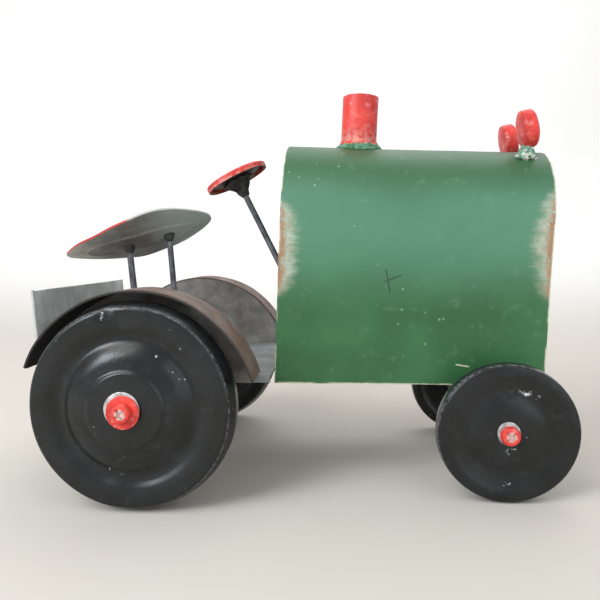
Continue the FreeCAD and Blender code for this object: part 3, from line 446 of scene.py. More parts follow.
def buildHood():
    h = hoodLook
    dip = math.radians(h["dip"])
    rows, columns, archRows = 44, 84, 64
    points, faces = [], []
    for row in range(2 * rows + archRows + 1):
        for column in range(columns + 1):
            along = h["length"] * column / columns
            foot = (h["footZ"] - h["baseZ"] + along * math.sin(dip)) / math.cos(dip)
            if row < rows:
                across, up, out = -h["half"], foot + (h["spring"] - foot) * row / rows, Vector((0, -1, 0))
            elif row > rows + archRows:
                share = (2 * rows + archRows - row) / rows
                across, up, out = h["half"], foot + (h["spring"] - foot) * share, Vector((0, 1, 0))
            else:
                angle = math.pi * (1 - (row - rows) / archRows)
                across, up = math.cos(angle) * h["half"], h["spring"] + math.sin(angle) * h["half"]
                out = Vector((0, math.cos(angle), math.sin(angle)))
            place = hoodPoint(along, across, up)
            edge = min(1, min(along, h["length"] - along) / 12)
            wave = (lumps(place, 46, 1) * 0.35 + lumps(place, 17, 2) * 0.08) * (0.35 + 0.65 * edge)
            ragged = lumps((0, across, up), 21, 3) * 0.28 + lumps((0, across, up), 5, 4) * 0.09
            if row in (0, 2 * rows + archRows):
                place.z += lumps((along, across, 0), 26, 5) * 0.22
            place += out * (wave - 0.3)
            if column in (0, columns):
                place.x += ragged + (-0.2 if column else 0.2)
            points.append(place)
    for row in range(2 * rows + archRows):
        for column in range(columns):
            first = row * (columns + 1) + column
            faces.append((first, first + 1, first + columns + 2, first + columns + 1))
    return makePiece("hoodSheet", points, faces, "chassis", [finishes["hood"]],
        ["hood_shell"], solid=h["skin"], bevel=0.28)


hood = buildHood()
print("hood: built")

# exhaust stack and the lumpy bead round its foot
stackLook = {"along": 41.0, "radius": 10.4, "wall": 1.2, "rise": 29.5}


def crownUp():
    return hoodLook["spring"] + hoodLook["half"]


def saddleDrop(r, angle):  # how far the arched top falls away below its crown at a point round the stack
    across = r * math.sin(angle)
    return hoodLook["half"] - math.sqrt(max(0.0, hoodLook["half"] ** 2 - across ** 2))


def buildStack():
    s = stackLook
    forward, upward = hoodFrameAxes()
    base = hoodPoint(s["along"], 0, crownUp())
    inner = s["radius"] - s["wall"]
    section = rounded([(s["radius"], 0), (s["radius"], s["rise"] * 0.5), (s["radius"], s["rise"]),
        (inner, s["rise"]), (inner, s["rise"] * 0.5), (inner, 0)],
                      [0.1, 0.45, 0.45, 0.1], 3)
    rows = []
    for index, (r, h) in enumerate(section):
        rows.append((r, h))

    def shape(r, h, angle):
        spotted = Vector((math.cos(angle) * 10, math.sin(angle) * 10, h))
        dented = lumps(spotted, 14, 5) * 0.16
        rim = lumps(spotted, 4, 6) * 0.12 if h > s["rise"] - 1 else 0
        if h < 0.01:
            h = -saddleDrop(r, angle) - 0.3
        return r + dented, h + rim

    points, faces = spun(rows, base, upward, shape, 96, forward)
    # the tube's inside faces get the near-black painted shade
    inside = finishes["inside"]

    def which(centre, normal):
        off = centre - base
        out = off - upward * off.dot(upward)
        return 1 if out.length < inner + 0.35 and normal.dot(out) < 0 else 0
    makePiece("exhaustStack", points, faces, "chassis", [finishes["red"], inside],
        ["exhaust_stack"], which)

    bead = [(s["radius"] - 0.2, 3.4), (s["radius"] + 0.5, 3.1), (s["radius"] + 1.3, 1.6),
        (s["radius"] + 2.6, 0.5), (s["radius"] + 3.1, -0.2),
            (s["radius"] + 2.2, -0.9), (s["radius"] - 0.2, -0.9)]

    def beadShape(r, h, angle):
        ripple = 0.5 + 0.5 * math.sin(angle * 23 + 1.4 * math.sin(angle * 3))
        lump = lumps((math.cos(angle) * 12, math.sin(angle) * 12, h), 3.2, 8)
        out = r - s["radius"]
        r = s["radius"] + out * (0.82 + 0.22 * ripple + 0.35 * lump) if out > 0 else r
        return r, h * (1 + 0.25 * lump) - saddleDrop(r, angle) + (0.25 * ripple if h > 0.2 else 0)
    points, faces = spun([Vector(p) for p in bead], base, upward, beadShape, 160, forward)
    return makePiece("stackWeldBead", points, faces, "chassis", [finishes["bead"]],
        ["stack_weld_bead"], sharp=60)


def beadEnamel(w):  # green over the weld, red where the stack was brushed, bare metal in the low spots
    base = w.tint(w.grain(200, 4, 0.7).rise(0.4, 0.6), greenLook["mid"], greenLook["hazy"])
    x, y, z = w.axes()
    level = (hoodPoint(stackLook["along"], 0, crownUp()) * mm).z
    base = w.tint((z - level + (w.grain(260, 3, 0.7) - 0.5) * 0.004).rise(0.0012, 0.0026), base,
        redLook["bright"])
    base = w.tint(w.grain(330, 4, 0.8, shift=(3, 3, 1)).rise(0.6, 0.68) * 0.9, base, greenLook["cream"])
    base = w.tint(w.grain(280, 3, 0.7, shift=(7, 1, 1)).rise(0.6, 0.7) * 0.8, base, greenLook["scratch"])
    return {"Base Color": base, "Roughness": 0.45, "Normal": w.bump(w.grain(400, 4, 0.7), 0.5, 0.0006)}


finishes["bead"] = finishOf("greenWeldBead", beadEnamel)
buildStack()
print("stack: built")

# headlights on their weld stubs
lampLook = {"along": 132.4, "up": 142.3, "side": 20.0, "radius": 10.3, "thick": 7.6, "lean": -12.5,
    "crown": 1.1}


def buildHeadlight(sideName, side):
    l = lampLook
    forward, upward = hoodFrameAxes()
    lean = Matrix.Rotation(math.radians(l["lean"]), 3, Vector((0, 1, 0)))
    facing = (lean @ forward).normalized()
    middle = hoodPoint(l["along"], side * l["side"], l["up"])
    half = l["thick"] / 2
    section = rounded([(0, -half - l["crown"] * 0.4), (l["radius"] * 0.55, -half - 0.3),
        (l["radius"] - 0.4, -half + 0.5), (l["radius"], -half + 1.9),
                       (l["radius"], half - 1.3), (l["radius"] - 0.8, half - 0.1),
                       (l["radius"] * 0.5, half + 0.5), (0, half + l["crown"] * 0.6)],
                      [1.4, 1.2, 1.2, 1.2, 1.4, 1.6], 4)

    def shape(r, h, angle):
        place = (math.cos(angle) * r, math.sin(angle) * r, h)
        return r * (1 + lumps(place, 9, 11 + side) * 0.03), h + lumps(place, 7, 13 + side) * 0.2
    points, faces = spun(section, middle, facing, shape, 72)
    chipped = finishOf("redLamp" + sideName.capitalize(), redEnamel, chalk=0.75, seed=5 + side)
    makePiece("headlight" + sideName.capitalize(), points, faces, "chassis", [chipped],
        ["headlight_" + sideName])

    saddle = hoodLook["half"] - math.sqrt(hoodLook["half"] ** 2 - l["side"] ** 2)
    foot = hoodPoint(l["along"] + 0.6, side * l["side"], crownUp() - saddle - 0.9)
    tall = l["up"] - l["radius"] - (crownUp() - saddle) + 2.6
    section = [Vector(p) for p in ((0, tall), (3.0, tall - 0.2), (3.6, tall * 0.66), (4.1, tall * 0.42),
        (5.2, tall * 0.2), (5.9, -0.6), (4, -2.2), (0, -2.6))]

    def lump(r, h, angle):
        place = (math.cos(angle) * r, math.sin(angle) * r, h)
        return r * (1 + lumps(place, 2.6, 17 + side) * 0.4), h + lumps(place, 2.1, 19 + side) * 0.5
    points, faces = spun(rounded([tuple(p) for p in section], [1.0] * 6, 3), foot, upward, lump, 60,
        forward)
    makePiece("headlightStub" + sideName.capitalize(), points, faces, "chassis",
        [finishes["stub"]], ["headlight_stub_" + sideName], sharp=70)


def stubEnamel(w):
    ragged = w.grain(330, 4, 0.75)
    base = w.tint(ragged.rise(0.42, 0.5), greenLook["mid"], greenLook["hazy"])
    base = w.tint(w.grain(260, 3, 0.7, shift=(2, 5, 3)).rise(0.5, 0.56), base, shade(214, 214, 208))
    base = w.tint(w.grain(300, 3, 0.7, shift=(9, 5, 3)).rise(0.6, 0.66), base, shade(150, 92, 84))
    return {"Base Color": base, "Roughness": 0.4,
        "Metallic": w.grain(260, 3, 0.7, shift=(2, 5, 3)).rise(0.5, 0.56) * 0.5,
            "Normal": w.bump(ragged, 0.5, 0.0006)}


finishes["stub"] = finishOf("greenWeldStub", stubEnamel)
for sideName, side in (("right", -1), ("left", 1)):
    buildHeadlight(sideName, side)
print("headlights: built")

# wheels: two pressed pans with a crimped seam
wheelLook = {
    "rear": {"path": [(0.0, 0.0), (0.0, 2.4), (-2.6, 10.4), (-11.2, 10.2), (-17.7, 7.2), (-24.4, 12.0),
        (-32.0, 13.3), (-33.4, 14.4), (-45.7, 14.6)],
             "round": [1.6, 1.8, 2.6, 4.5, 4.0, 0.7, 0.7], "flatter": 1.0, "middle": 80.4},
    "front": {"path": [(0.0, 0.0), (0.0, 1.5), (-0.7, 5.6), (-5.2, 6.0), (-8.6, 5.0), (-15.0, 3.5),
        (-20.6, 5.3), (-26.0, 5.7), (-29.5, 5.8)],
              "round": [0.9, 1.2, 1.8, 2.4, 3.6, 3.0, 1.4], "flatter": 1.0, "middle": 60.6},
    "skin": 1.2,
}
dents = {("rear", -1): [(100, 49.0, 5.5, 3.2, -1.7, 0.9), (92, 43.0, 7.0, 4.0, -0.8, 0.0),
    (262, 36.0, 9.0, 5.0, 0.7, 0.0)],
         ("front", -1): [(118, 30.0, 10.0, 4.0, -0.5, 0.0), (292, 24.0, 12.0, 4.0, 0.35, 0.0)],
         ("rear", 1): [(40, 47.0, 6.0, 3.4, -1.0, 0.4)], ("front", 1): [(205, 30.0, 9.0, 4.0, -0.5, 0.0)]}
wheelChips = {
    ("rear", -1): [(-11.2, 44.6, 1.2, 2.6), (15.0, 26.0, 0.8, 0.8), (-3.6, -32.4, 1.2, 1.0),
        (-9.8, -29.5, 0.6, 1.4)],
    ("front", -1): [(3.2, 21.6, 2.8, 1.6), (8.4, 20.8, 2.6, 1.8), (13.8, 18.6, 1.8, 1.4),
        (-0.9, -25.2, 2.6, 1.3), (0.4, -8.0, 3.6, 2.2)],
    ("rear", 1): [(12.0, 38.0, 1.6, 1.2), (-20.0, -18.0, 1.2, 1.4)],
    ("front", 1): [(-6.0, 20.0, 2.0, 1.4)],
}


def buildWheel(axle, sideName, side, seed):
    look = wheelLook[axle]
    outerNode, innerNode = f"{axle}_wheel_{sideName}_outer_pan", f"{axle}_wheel_{sideName}_inner_pan"
    low, high = cadSpan(outerNode)
    centre = (low + high) / 2
    rim = (high.z - low.z) / 2
    origin = Vector((centre.x, side * look["middle"], centre.z))
    body = f"{axle}_wheel_{sideName}"
    chips = [(centre.x + dx, centre.z + dz, sx, sz) for dx, dz, sx, sz in wheelChips[(axle, side)]]
    finish = finishOf(f"black{axle.capitalize()}Wheel{sideName.capitalize()}", blackEnamel,
        axle=(centre.x, centre.z), edge=rim + look["path"][2][0], seed=seed, chips=chips)
    for pan, facing in (("outer", side), ("inner", -side)):
        path = [(rim + dr, h) for dr, h in look["path"]]
        if pan == "inner":
            flat = look["path"][2][1] - 1.0
            path = path[:5] + [(path[5][0], flat), (6.0, flat)]
        section = thickened(rounded(path, look["round"], 6), wheelLook["skin"])
        start = Vector((1, 0, 0))

        def shape(r, h, angle):
            turn = angle * (-facing)  # from forward towards up, as seen from the near side
            place = Vector((math.cos(turn) * r, math.sin(turn) * r, seed * 10 + facing))
            edge = min(1.0, max(0.0, (rim - r) / 6))
            away = lumps(place, 30, seed) * 0.4 * edge + lumps(place, 11, seed + 1) * 0.1 * edge
            out = lumps(place, 24, seed + 2) * 0.16
            if pan == "outer" and h > 1.5:
                for degrees, at, wide, deep, push, swell in dents[(axle, side)]:
                    hit = bell(math.degrees(turnGap(turn, math.radians(degrees))), wide) * bell(r - at,
                        deep)
                    away += push * hit
                    out += swell * hit
            return r - 0.2 + out, h + (away if h > 0.5 else 0)
        points, faces = spun(section, origin, Vector((0, facing, 0)), shape, 192, start)
        makePiece(f"{axle}Wheel{sideName.capitalize()}{pan.capitalize()}Pan", points, faces, body,
            [finish],
                  [outerNode if pan == "outer" else innerNode], sharp=50)


seed = 20
for axle in ("rear", "front"):
    for sideName, side in (("right", -1), ("left", 1)):
        seed += 3
        buildWheel(axle, sideName, side, seed)
print("wheels: built")

# washers and cross-head screws
fixingLook = {
    "bigWasher": {"radius": 8.6, "hole": 3.4, "shift": (-0.8, 1.2)},
    "redWasher": {"radius": 8.0, "hole": 3.0, "shift": (0.0, 0.1)},
    "frontWasher": {"radius": 5.5, "hole": 3.2, "shift": (-0.5, 1.3)},
    "screw": {"head": 4.8, "rise": 3.3, "shank": 2.4, "shankLength": 12.0, "slot": 1.15, "reach": 2.9,
        "depth": 1.6},
}


def buildWasher(node, look, body, finish, side, seed):
    low, high = cadSpan(node)
    middle = (low + high) / 2
    thick = high.y - low.y
    dx, dz = look["shift"]
    origin = Vector((middle.x + dx, middle.y, middle.z + dz))
    half = thick / 2
    outer, hole = look["radius"], look["hole"]
    section = rounded([(hole, 0), (hole, half), (outer, half), (outer, 0), (outer, -half), (hole, -half),
        (hole, -0.01)], [0.2, 0.4, 0.1, 0.4, 0.2], 3)

    def shape(r, h, angle):
        place = (math.cos(angle) * r, math.sin(angle) * r, seed)
        return r * (1 + lumps(place, 3.5, seed) * 0.025), h * 0.94 + lumps(place, 8, seed + 1) * 0.05
    points, faces = spun(section, origin, Vector((0, side, 0)), shape, 64)
    name = "".join(word.capitalize() for word in node.split("_"))
    return makePiece(name[0].lower() + name[1:], points, faces, body, [finish], [node])


def buildScrew(node, side, seed):
    s = fixingLook["screw"]
    low, high = cadSpan(node)
    middle = (low + high) / 2
    tip = (high.y if side > 0 else -low.y)
    origin = Vector((middle.x, side * (tip - s["rise"]), middle.z))
    top = [(0.0, s["rise"])] + [(s["head"] * i / 26, s["rise"] - 0.55 * (i / 26) ** 2.4) for i in range(1,
        23)]
    rest = [(s["head"] * 0.93, s["rise"] * 0.72), (s["head"], s["rise"] * 0.5), (s["head"], 0.15),
        (s["head"] - 0.2, 0.0),
            (s["shank"], 0.0), (s["shank"], -s["shankLength"] * 0.5), (s["shank"], -s["shankLength"]),
            (0.0, -s["shankLength"])]
    section = [Vector(p) for p in top + rest]
    spin = 0.25 + seed * 0.7

    def shape(r, h, angle):
        if h < s["rise"] * 0.6 or r > s["head"] * 0.8:
            return r, h
        a = angle + spin
        u, v = abs(math.cos(a) * r), abs(math.sin(a) * r)
        arm, wide = max(u, v), min(u, v)
        taper = s["slot"] / 2 * (1.25 - 0.35 * arm / s["reach"])
        inside = min(1, max(0, (taper - wide) / 0.28 + 0.5)) * min(1,
            max(0, (s["reach"] - arm) / 0.35 + 0.5))
        core = min(1, max(0, (1.25 - r) / 0.3 + 0.5))
        return r, h - max(inside, core) * s["depth"] * (1 - 0.35 * arm / s["reach"])
    points, faces = spun(section, origin, Vector((0, side, 0)), shape, 128)
    finish = finishOf(node, screwEnamel, centre=(middle.x, middle.z), seed=seed)
    name = "".join(word.capitalize() for word in node.split("_"))
    return makePiece(name[0].lower() + name[1:], points, faces, "chassis", [finish], [node],
        sharp=35)


def screwEnamel(w, centre=(0, 0), seed=0):
    look = redEnamel(w, 0.6, seed)
    x, y, z = w.axes()
    out = (((x - centre[0] * mm) ** 2.0 + (z - centre[1] * mm) ** 2.0) ** 0.5)
    ragged = w.grain(900, 3, 0.7, shift=(seed, 0, 0))
    bare = (0.0026 - out + (ragged - 0.5) * 0.0022).rise(-0.0003, 0.0006)
    look["Base Color"] = w.tint(bare * (0.55 + ragged * 0.5), look["Base Color"], shade(214, 200, 192))
    look["Metallic"] = bare * 0.5
    return look


buildSeed = 0
for sideName, side in (("right", -1), ("left", 1)):
    buildSeed += 1
    buildWasher(f"rear_big_washer_{sideName}", fixingLook["bigWasher"], "chassis",
        finishes["zinc"], side, 40 + buildSeed)
    buildWasher(f"rear_red_washer_{sideName}", fixingLook["redWasher"], "chassis",
        finishes["redChalky"], side, 44 + buildSeed)
    buildWasher(f"front_washer_{sideName}", fixingLook["frontWasher"], "chassis",
        finishes["zinc"], side, 48 + buildSeed)
    buildScrew(f"rear_screw_{sideName}", side, buildSeed)
    buildScrew(f"front_screw_{sideName}", side, buildSeed + 2)
print("fixings: built")

# fenders: an arched strip on a flat side plate
fenderLook = {"inner": 57.3, "outer": 82.6, "radius": 61.5, "up": 47.3, "ahead": -74.24, "front": 15.8,
    "rear": 158.6, "skin": 1.2}


def buildFenderStrip(sideName, side):
    f = fenderLook
    rows, columns = 120, 12
    points, faces = [], []
    for row in range(rows + 1):
        angle = math.radians(f["front"] + (f["rear"] - f["front"]) * row / rows)
        for column in range(columns + 1):
            share = column / columns
            inner, outer = f["inner"] - f["skin"], f["outer"]
            ragged = lumps((row * 0.9, side * 3, 0), 9, 31) * 0.35 + lumps((row * 0.9, side * 3, 0), 2.5,
                32) * 0.12
            wide = inner + (outer - inner) * share + (ragged - 0.3) * share
            r = f["radius"] - 0.35 + 0.75 * share * lumps((math.cos(angle) * 60, side * 9,
                math.sin(angle) * 60), 30, 33) + lumps((row, column * 2, side), 8, 34) * 0.1
            short = 0
            if row in (0, rows):
                short = lumps((column * 3, row, side), 5, 35) * 0.4
            tip = angle + math.radians(short) * (1 if row else -1)
            points.append(Vector((f["ahead"] + math.cos(tip) * r, side * wide,
                f["up"] + math.sin(tip) * r)))
    for row in range(rows):
        for column in range(columns):
            first = row * (columns + 1) + column
            quad = (first, first + 1, first + columns + 2, first + columns + 1)
            faces.append(quad[::-1] if side < 0 else quad)
    return makePiece("fenderStrip" + sideName.capitalize(), points, faces, "chassis",
        [finishes["fender"]],
                     ["fender_strip_" + sideName], solid=f["skin"], bevel=0.22)


def fenderEnamel(w):
    look = agedSteel(w, dark=shade(94, 76, 68), light=shade(138, 120, 112), warm=shade(116, 84, 70),
        warmth=0.6, metal=0.12, rough=0.55, scale=70)
    x, y, z = w.axes()
    out = (((x - fenderLook["ahead"] * mm) ** 2.0 + (z - fenderLook["up"] * mm) ** 2.0) ** 0.5)
    fine = w.grain(400, 3, 0.7)
    # painted shade: the strip's underside, facing the wheel, is painted near black; a thin dark line is
    # also painted along the strip's outer edge
    under = 1 - (out + (fine - 0.5) * 0.0003).rise((fenderLook["radius"] - 0.95) * mm,
        (fenderLook["radius"] - 0.6) * mm)
    lip = (y.size() + (fine - 0.5) * 0.001).rise((fenderLook["outer"] - 1.2) * mm,
        (fenderLook["outer"] - 0.55) * mm)
    look["Base Color"] = w.tint(under.most(lip * 0.9), look["Base Color"], shade(34, 32, 30))
    return look


finishes["fender"] = finishOf("fenderPaint", fenderEnamel)
for sideName, side in (("right", -1), ("left", 1)):
    buildFenderStrip(sideName, side)
print("fenders: built")

# tail plate: a slightly bowed sheet with a burr on one corner
tailLook = {"half": 63.0, "low": 56.5, "high": 50.5, "lean": 3.2, "skin": 1.2}


def buildTail():
    t = tailLook
    low, high = cadSpan("tail_plate")
    front = high.x
    rows, columns = 24, 60
    points, faces = [], []
    lean = math.radians(t["lean"])
    for row in range(rows + 1):
        up = t["high"] * row / rows
        for column in range(columns + 1):
            across = -t["half"] + 2 * t["half"] * column / columns
            bow = lumps((across, up, 0), 40, 51) * 0.4
            edge = lumps((across, 0, 0), 12, 52) * 0.2 if row == rows else 0
            if row == rows and column == 0:
                edge += 0.7
            points.append(Vector((front - 0.2 - up * math.sin(lean) - bow - (t["high"] - up) * 0.0, across,
                t["low"] + up * math.cos(lean) + edge - 0.2)))
    for row in range(rows):
        for column in range(columns):
            first = row * (columns + 1) + column
            faces.append((first, first + 1, first + columns + 2, first + columns + 1))
    return makePiece("tailSheet", points, faces, "chassis", [finishes["tail"]],
        ["tail_plate"], solid=t["skin"], bevel=0.2)


buildTail()
print("tail: built")

# seat: a leaf-shaped dish with a pressed panel and a flat rim
seatLook = {"x": -99.14, "up": 135.9, "pitch": -14.4, "roll": 18.0, "reach": 47.6, "widest": 31.7,
    "skin": 1.3, "dish": 330.0,
            "rightRim": [(-1, 0), (-0.96, 0.14), (-0.68, 0.48), (-0.36, 0.69), (-0.02, 0.89), (0.38, 1),
                (0.63, 0.89), (0.79, 0.66), (0.93, 0.36), (1, 0)],
            "leftRim": [(0.85, 0.27), (0.46, 0.54), (0.19, 0.72), (-0.17, 0.82), (-0.4, 0.66), (-0.7, 0.45),
                (-0.97, 0.14)],
            "hollow": 0.8, "ridge": 0.9, "panelReach": 0.74, "panelHalf": 11.0}


def smoothLoop(loop, count):  # evenly drawn points on a smooth closed curve through the loop
    dense = []
    for index in range(len(loop)):
        p0, p1, p2, p3 = (Vector(loop[(index + k - 1) % len(loop)]) for k in range(4))
        for step in range(24):
            t = step / 24
            square, cube = 2 * p0 - 5 * p1 + 4 * p2 - p3, 3 * p1 - p0 - 3 * p2 + p3
            dense.append(0.5 * ((2 * p1) + (p2 - p0) * t + square * t * t + cube * t ** 3))
    lengths = [0.0]
    for first, second in zip(dense, dense[1:] + dense[:1]):
        lengths.append(lengths[-1] + (second - first).length)
    out, at = [], 0
    for index in range(count):
        wanted = lengths[-1] * index / count
        while lengths[at + 1] < wanted:
            at += 1
        share = (wanted - lengths[at]) / max(1e-9, lengths[at + 1] - lengths[at])
        out.append(dense[at % len(dense)].lerp(dense[(at + 1) % len(dense)], share))
    return out


def seatHeight(x, y, rimShare):  # underside above the seat's rim plane; rimShare is 1 on the rim
    s = seatLook
    fall = (s["reach"] ** 2 - x * x - y * y) / (2 * s["dish"])
    flange = min(1, max(0, (1 - rimShare) / 0.075))
    flange = flange * flange * (3 - 2 * flange)
    height = -fall - s["hollow"] * flange * (1 - rimShare ** 2) * 0.55
    panel = 1 - (abs(x) / (s["reach"] * s["panelReach"])) ** 2.2
    half = s["panelHalf"] * max(0.0, panel) ** 0.6
    offLine = abs(abs(y + 1.0) - half)
    ridge = bell(offLine, 0.75) if panel > 0.02 else 0
    inside = 1 if abs(y + 1.0) < half and panel > 0 else 0
    diagonal = bell((x + 30.5) * 0.78 - (y + 1.0) * 0.63, 0.7) * inside
    return height - s["ridge"] * max(ridge, diagonal * 0.8) - 0.2 * inside * min(1,
        (half - abs(y + 1.0)) / 2 if inside else 0)


def buildSeat():
    s = seatLook
    right = [(along * s["reach"], -out * s["widest"]) for along, out in s["rightRim"]]
    left = [(along * s["reach"], out * s["widest"]) for along, out in s["leftRim"]]
    loop = smoothLoop([Vector(spot) for spot in right + left], 180)
    pitch = Matrix.Rotation(math.radians(s["pitch"]), 3, "Y")
    roll = Matrix.Rotation(-math.radians(s["roll"]), 3, "X")
    place = pitch @ roll
    origin = Vector((s["x"], 0, s["up"]))
    rings = [0.0, 0.03] + [0.07 + 0.83 * i / 30 for i in range(31)] + [0.915, 0.93, 0.945, 0.96, 0.975,
        0.99, 1.0]
    points, faces, ringStart = [], [], []
    for share in rings:
        ringStart.append(len(points))
        for number, rim in enumerate(loop if share else loop[:1]):
            x, y = rim.x * share, rim.y * share
            ragged = 1 + (lumps((rim.x, rim.y, 0), 9,
                61) * 0.006 if share > 0.9 else 0) - (0.006 if share > 0.9 else 0)
            z = seatHeight(x, y, share) + lumps((x, y, 3), 15, 62) * 0.22 + 0.05
            if share > 0.95 and 0.2 < rim.x / s["reach"] < 0.93 and rim.y > 0:
                z -= 1.1 * (share - 0.95) / 0.05 * math.sin(math.pi * (rim.x / s["reach"] - 0.2) / 0.73)
            points.append(origin + place @ Vector((x * ragged, y * ragged, z)))
    count = len(loop)
    for index in range(count):
        faces.append((0, 1 + (index + 1) % count, 1 + index))
    for ring in range(1, len(rings) - 1):
        a, b = ringStart[ring], ringStart[ring + 1]
        for index in range(count):
            following = (index + 1) % count
            faces.append((a + index, a + following, b + following, b + index))
    seat = makePiece("seatPan", points, faces, "chassis",
        [finishes["seatUnder"], finishes["red"], finishes["seatRim"]], ["seat_pan"], sharp=60)
    thicker = seat.modifiers.new("sheet", "SOLIDIFY")
    thicker.thickness = s["skin"] * mm
    thicker.offset = -1
    thicker.material_offset = 1
    thicker.material_offset_rim = 2
    return seat


def seatUnderEnamel(w):
    look = agedSteel(w, dark=shade(108, 106, 102), light=shade(178, 180, 176), warm=shade(122, 102, 94),
        warmth=0.5, metal=0.35, rough=0.32, scale=48)
    x, y, z = w.axes()
    # painted sheen: the underside is painted lighter and bluish towards the front
    frontSheen = (x + (w.grain(40, 3) - 0.5) * 0.02).rise(-0.098, -0.07)
    look["Base Color"] = w.tint(frontSheen * 0.7, look["Base Color"], shade(204, 212, 212))
    # painted highlight: lighter lines along the pressed ridges
    ridgeHighlight = w.node("NewGeometry", output="Pointiness").rise(0.505, 0.53)
    look["Base Color"] = w.tint(ridgeHighlight * 0.5, look["Base Color"], shade(196, 190, 184))
    return look


def seatRimEnamel(w):  # the red from above has run over the rear half of the cut edge
    look = seatUnderEnamel(w)
    x, y, z = w.axes()
    red = (1 - (x + (w.grain(60, 3) - 0.5) * 0.03).rise(-0.104, -0.092)) * w.grain(150, 3).rise(0.3, 0.42)
    look["Base Color"] = w.tint(red, look["Base Color"], redLook["deep"])
    return look


finishes["seatUnder"] = finishOf("seatUnderside", seatUnderEnamel)
finishes["seatRim"] = finishOf("seatRim", seatRimEnamel)
buildSeat()


# the weld's own cone, made uneven
def lumpyWeld(name, node, body, finish, seed, puff=1.12, cell=2.2):
    low, high = cadSpan(node)
    middle = (low + high) / 2
    source = nodes[node].data
    bpy.context.view_layer.update()
    copied = source.copy()
    copied.materials.clear()
    copied.materials.append(finish)
    piece = bpy.data.objects.new(name, copied)
    bpy.context.scene.collection.objects.link(piece)
    remesh = piece.modifiers.new("even", "REMESH")
    remesh.mode = "VOXEL"
    remesh.voxel_size = 0.28 * mm
    graph = bpy.context.evaluated_depsgraph_get()
    mesh = bpy.data.meshes.new_from_object(piece.evaluated_get(graph))
    piece.modifiers.clear()
    piece.data = mesh
    bpy.data.meshes.remove(copied)
    for vertex in mesh.vertices:
        spot = vertex.co / mm
        bulge = lumps(spot, cell, seed) * 0.55 + lumps(spot, cell * 0.45, seed + 1) * 0.2
        off = spot - middle
        flat = Vector((off.x, off.y, 0))
        vertex.co = (middle + Vector((off.x * puff, off.y * puff, off.z)) + flat.normalized() * bulge) * mm
    mesh.shade_smooth()
    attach(piece, body)
    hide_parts(node)
    return piece


lumpyWeld("seatWeldRear", "seat_weld_rear", "chassis", finishes["weld"], 71)
lumpyWeld("seatWeldFront", "seat_weld_front", "chassis", finishes["weld"], 73)
print("seat: built")

# steering wheel: a red pressed cap, dark below
steerLook = {"x": -37.24, "up": 171.2, "rake": -26.4, "radius": 19.6, "thick": 3.4, "sink": 1.2, "rim": 4.2,
    "skin": 1.2, "boss": 8.6, "cone": 9.6}


def buildSteering():
    s = steerLook
    rake = math.radians(s["rake"])
    upward = Vector((math.sin(rake), 0, math.cos(rake)))
    middle = Vector((s["x"], 0, s["up"]))
    path = rounded([(s["radius"] - 0.3, -s["thick"] / 2), (s["radius"], s["thick"] / 2),
        (s["radius"] - s["rim"], s["thick"] / 2),
                    (s["radius"] - s["rim"] - 1.6, s["thick"] / 2 - s["sink"]),
                    (0.03, s["thick"] / 2 - s["sink"])], [1.5, 1.2, 1.0], 5)

    def shape(r, h, angle):
        place = (math.cos(angle) * r, math.sin(angle) * r, h)
        return r * (1 + lumps(place, 12, 81) * 0.006) - 0.1, h + lumps(place, 14, 82) * 0.18
    points, faces = spun(thickened(path, s["skin"]), middle, upward, shape, 120)

    def which(centre, normal):
        level = (centre - middle).dot(upward)
        return 1 if normal.dot(upward) < -0.3 or level < -s["thick"] / 2 + 0.9 else 0
    makePiece("steeringWheel", points, faces, "steering", [finishes["red"], finishes["weld"]],
        ["steering_wheel"], which)

    under = s["sink"] + s["skin"] - s["thick"] / 2
    foot = s["thick"] / 2 + 1.1
    path = [(0.0, -under), (s["boss"] * 0.9, -under), (s["boss"], -s["thick"] / 2),
        (s["boss"] + 1.6, -foot + 0.2), (s["boss"] - 0.6, -foot - 0.8),
            (4.6, -foot - s["cone"] * 0.5), (3.1, -foot - s["cone"] * 0.8), (2.5, -foot - s["cone"]),
            (0.0, -foot - s["cone"])]

    def gusset(r, h, angle):
        place = (math.cos(angle) * r, math.sin(angle) * r, h)
        flat = 1 - 0.3 * abs(math.sin(angle)) * min(1, max(0, (-h - 2) / 3))
        return r * flat * (1 + lumps(place, 3.2, 84) * 0.2), h + lumps(place, 4, 85) * 0.4
    points, faces = spun(rounded(path, [0.4, 0.4, 0.6, 1.0, 2.2, 1.5, 0.5], 4), middle, upward, gusset, 80,
        Vector((1, 0, 0)))
    makePiece("steeringBoss", points, faces, "steering", [finishes["weld"]],
        ["steering_boss"], sharp=50)


buildSteering()
print("steering: built")

# the frame's own nodes that stay get their finishes
kept = {
    "grille_plate": "green", "dash_plate": "green", "deck_plate": "grey", "fender_plate_right": "plate",
    "fender_plate_left": "plate",
    "seat_post_rear": "dark", "seat_post_front": "dark", "steering_column": "dark", "column_collar": "dark",
    "column_bush": "dark",
    "rear_axle": "dark", "front_axle": "dark",
}
for sideName in ("right", "left"):
    for axle in ("rear", "front"):
        kept[f"{axle}_wheel_{sideName}_sleeve"] = "dark"
        kept[f"{axle}_hanger_{sideName}"] = "plate"
        kept[f"{axle}_spacer_{sideName}"] = "dark"
for name, finish in kept.items():
    mesh = nodes[name].data
    mesh.materials.clear()
    mesh.materials.append(finishes[finish])
bare = [name for name, node in nodes.items() if name not in kept and not node.hide_render]
print("kept nodes: finished", len(kept), "left over", bare)

# floor, light and camera
stageLook = {"depth": 1.05, "width": 3.2, "front": -0.9, "bend": 0.35, "high": 1.6, "behind": 0.55}


def floorEnamel(w):
    x, y, z = w.axes()
    base = w.tint((z + y * 0.15).rise(0.02, 0.28), shade(204, 198, 189), shade(243, 242, 240))
    base = w.tint(w.grain(7, 4).rise(0.3, 0.7) * 0.08, base, shade(200, 188, 172))
    return {"Base Color": base, "Roughness": 0.8}


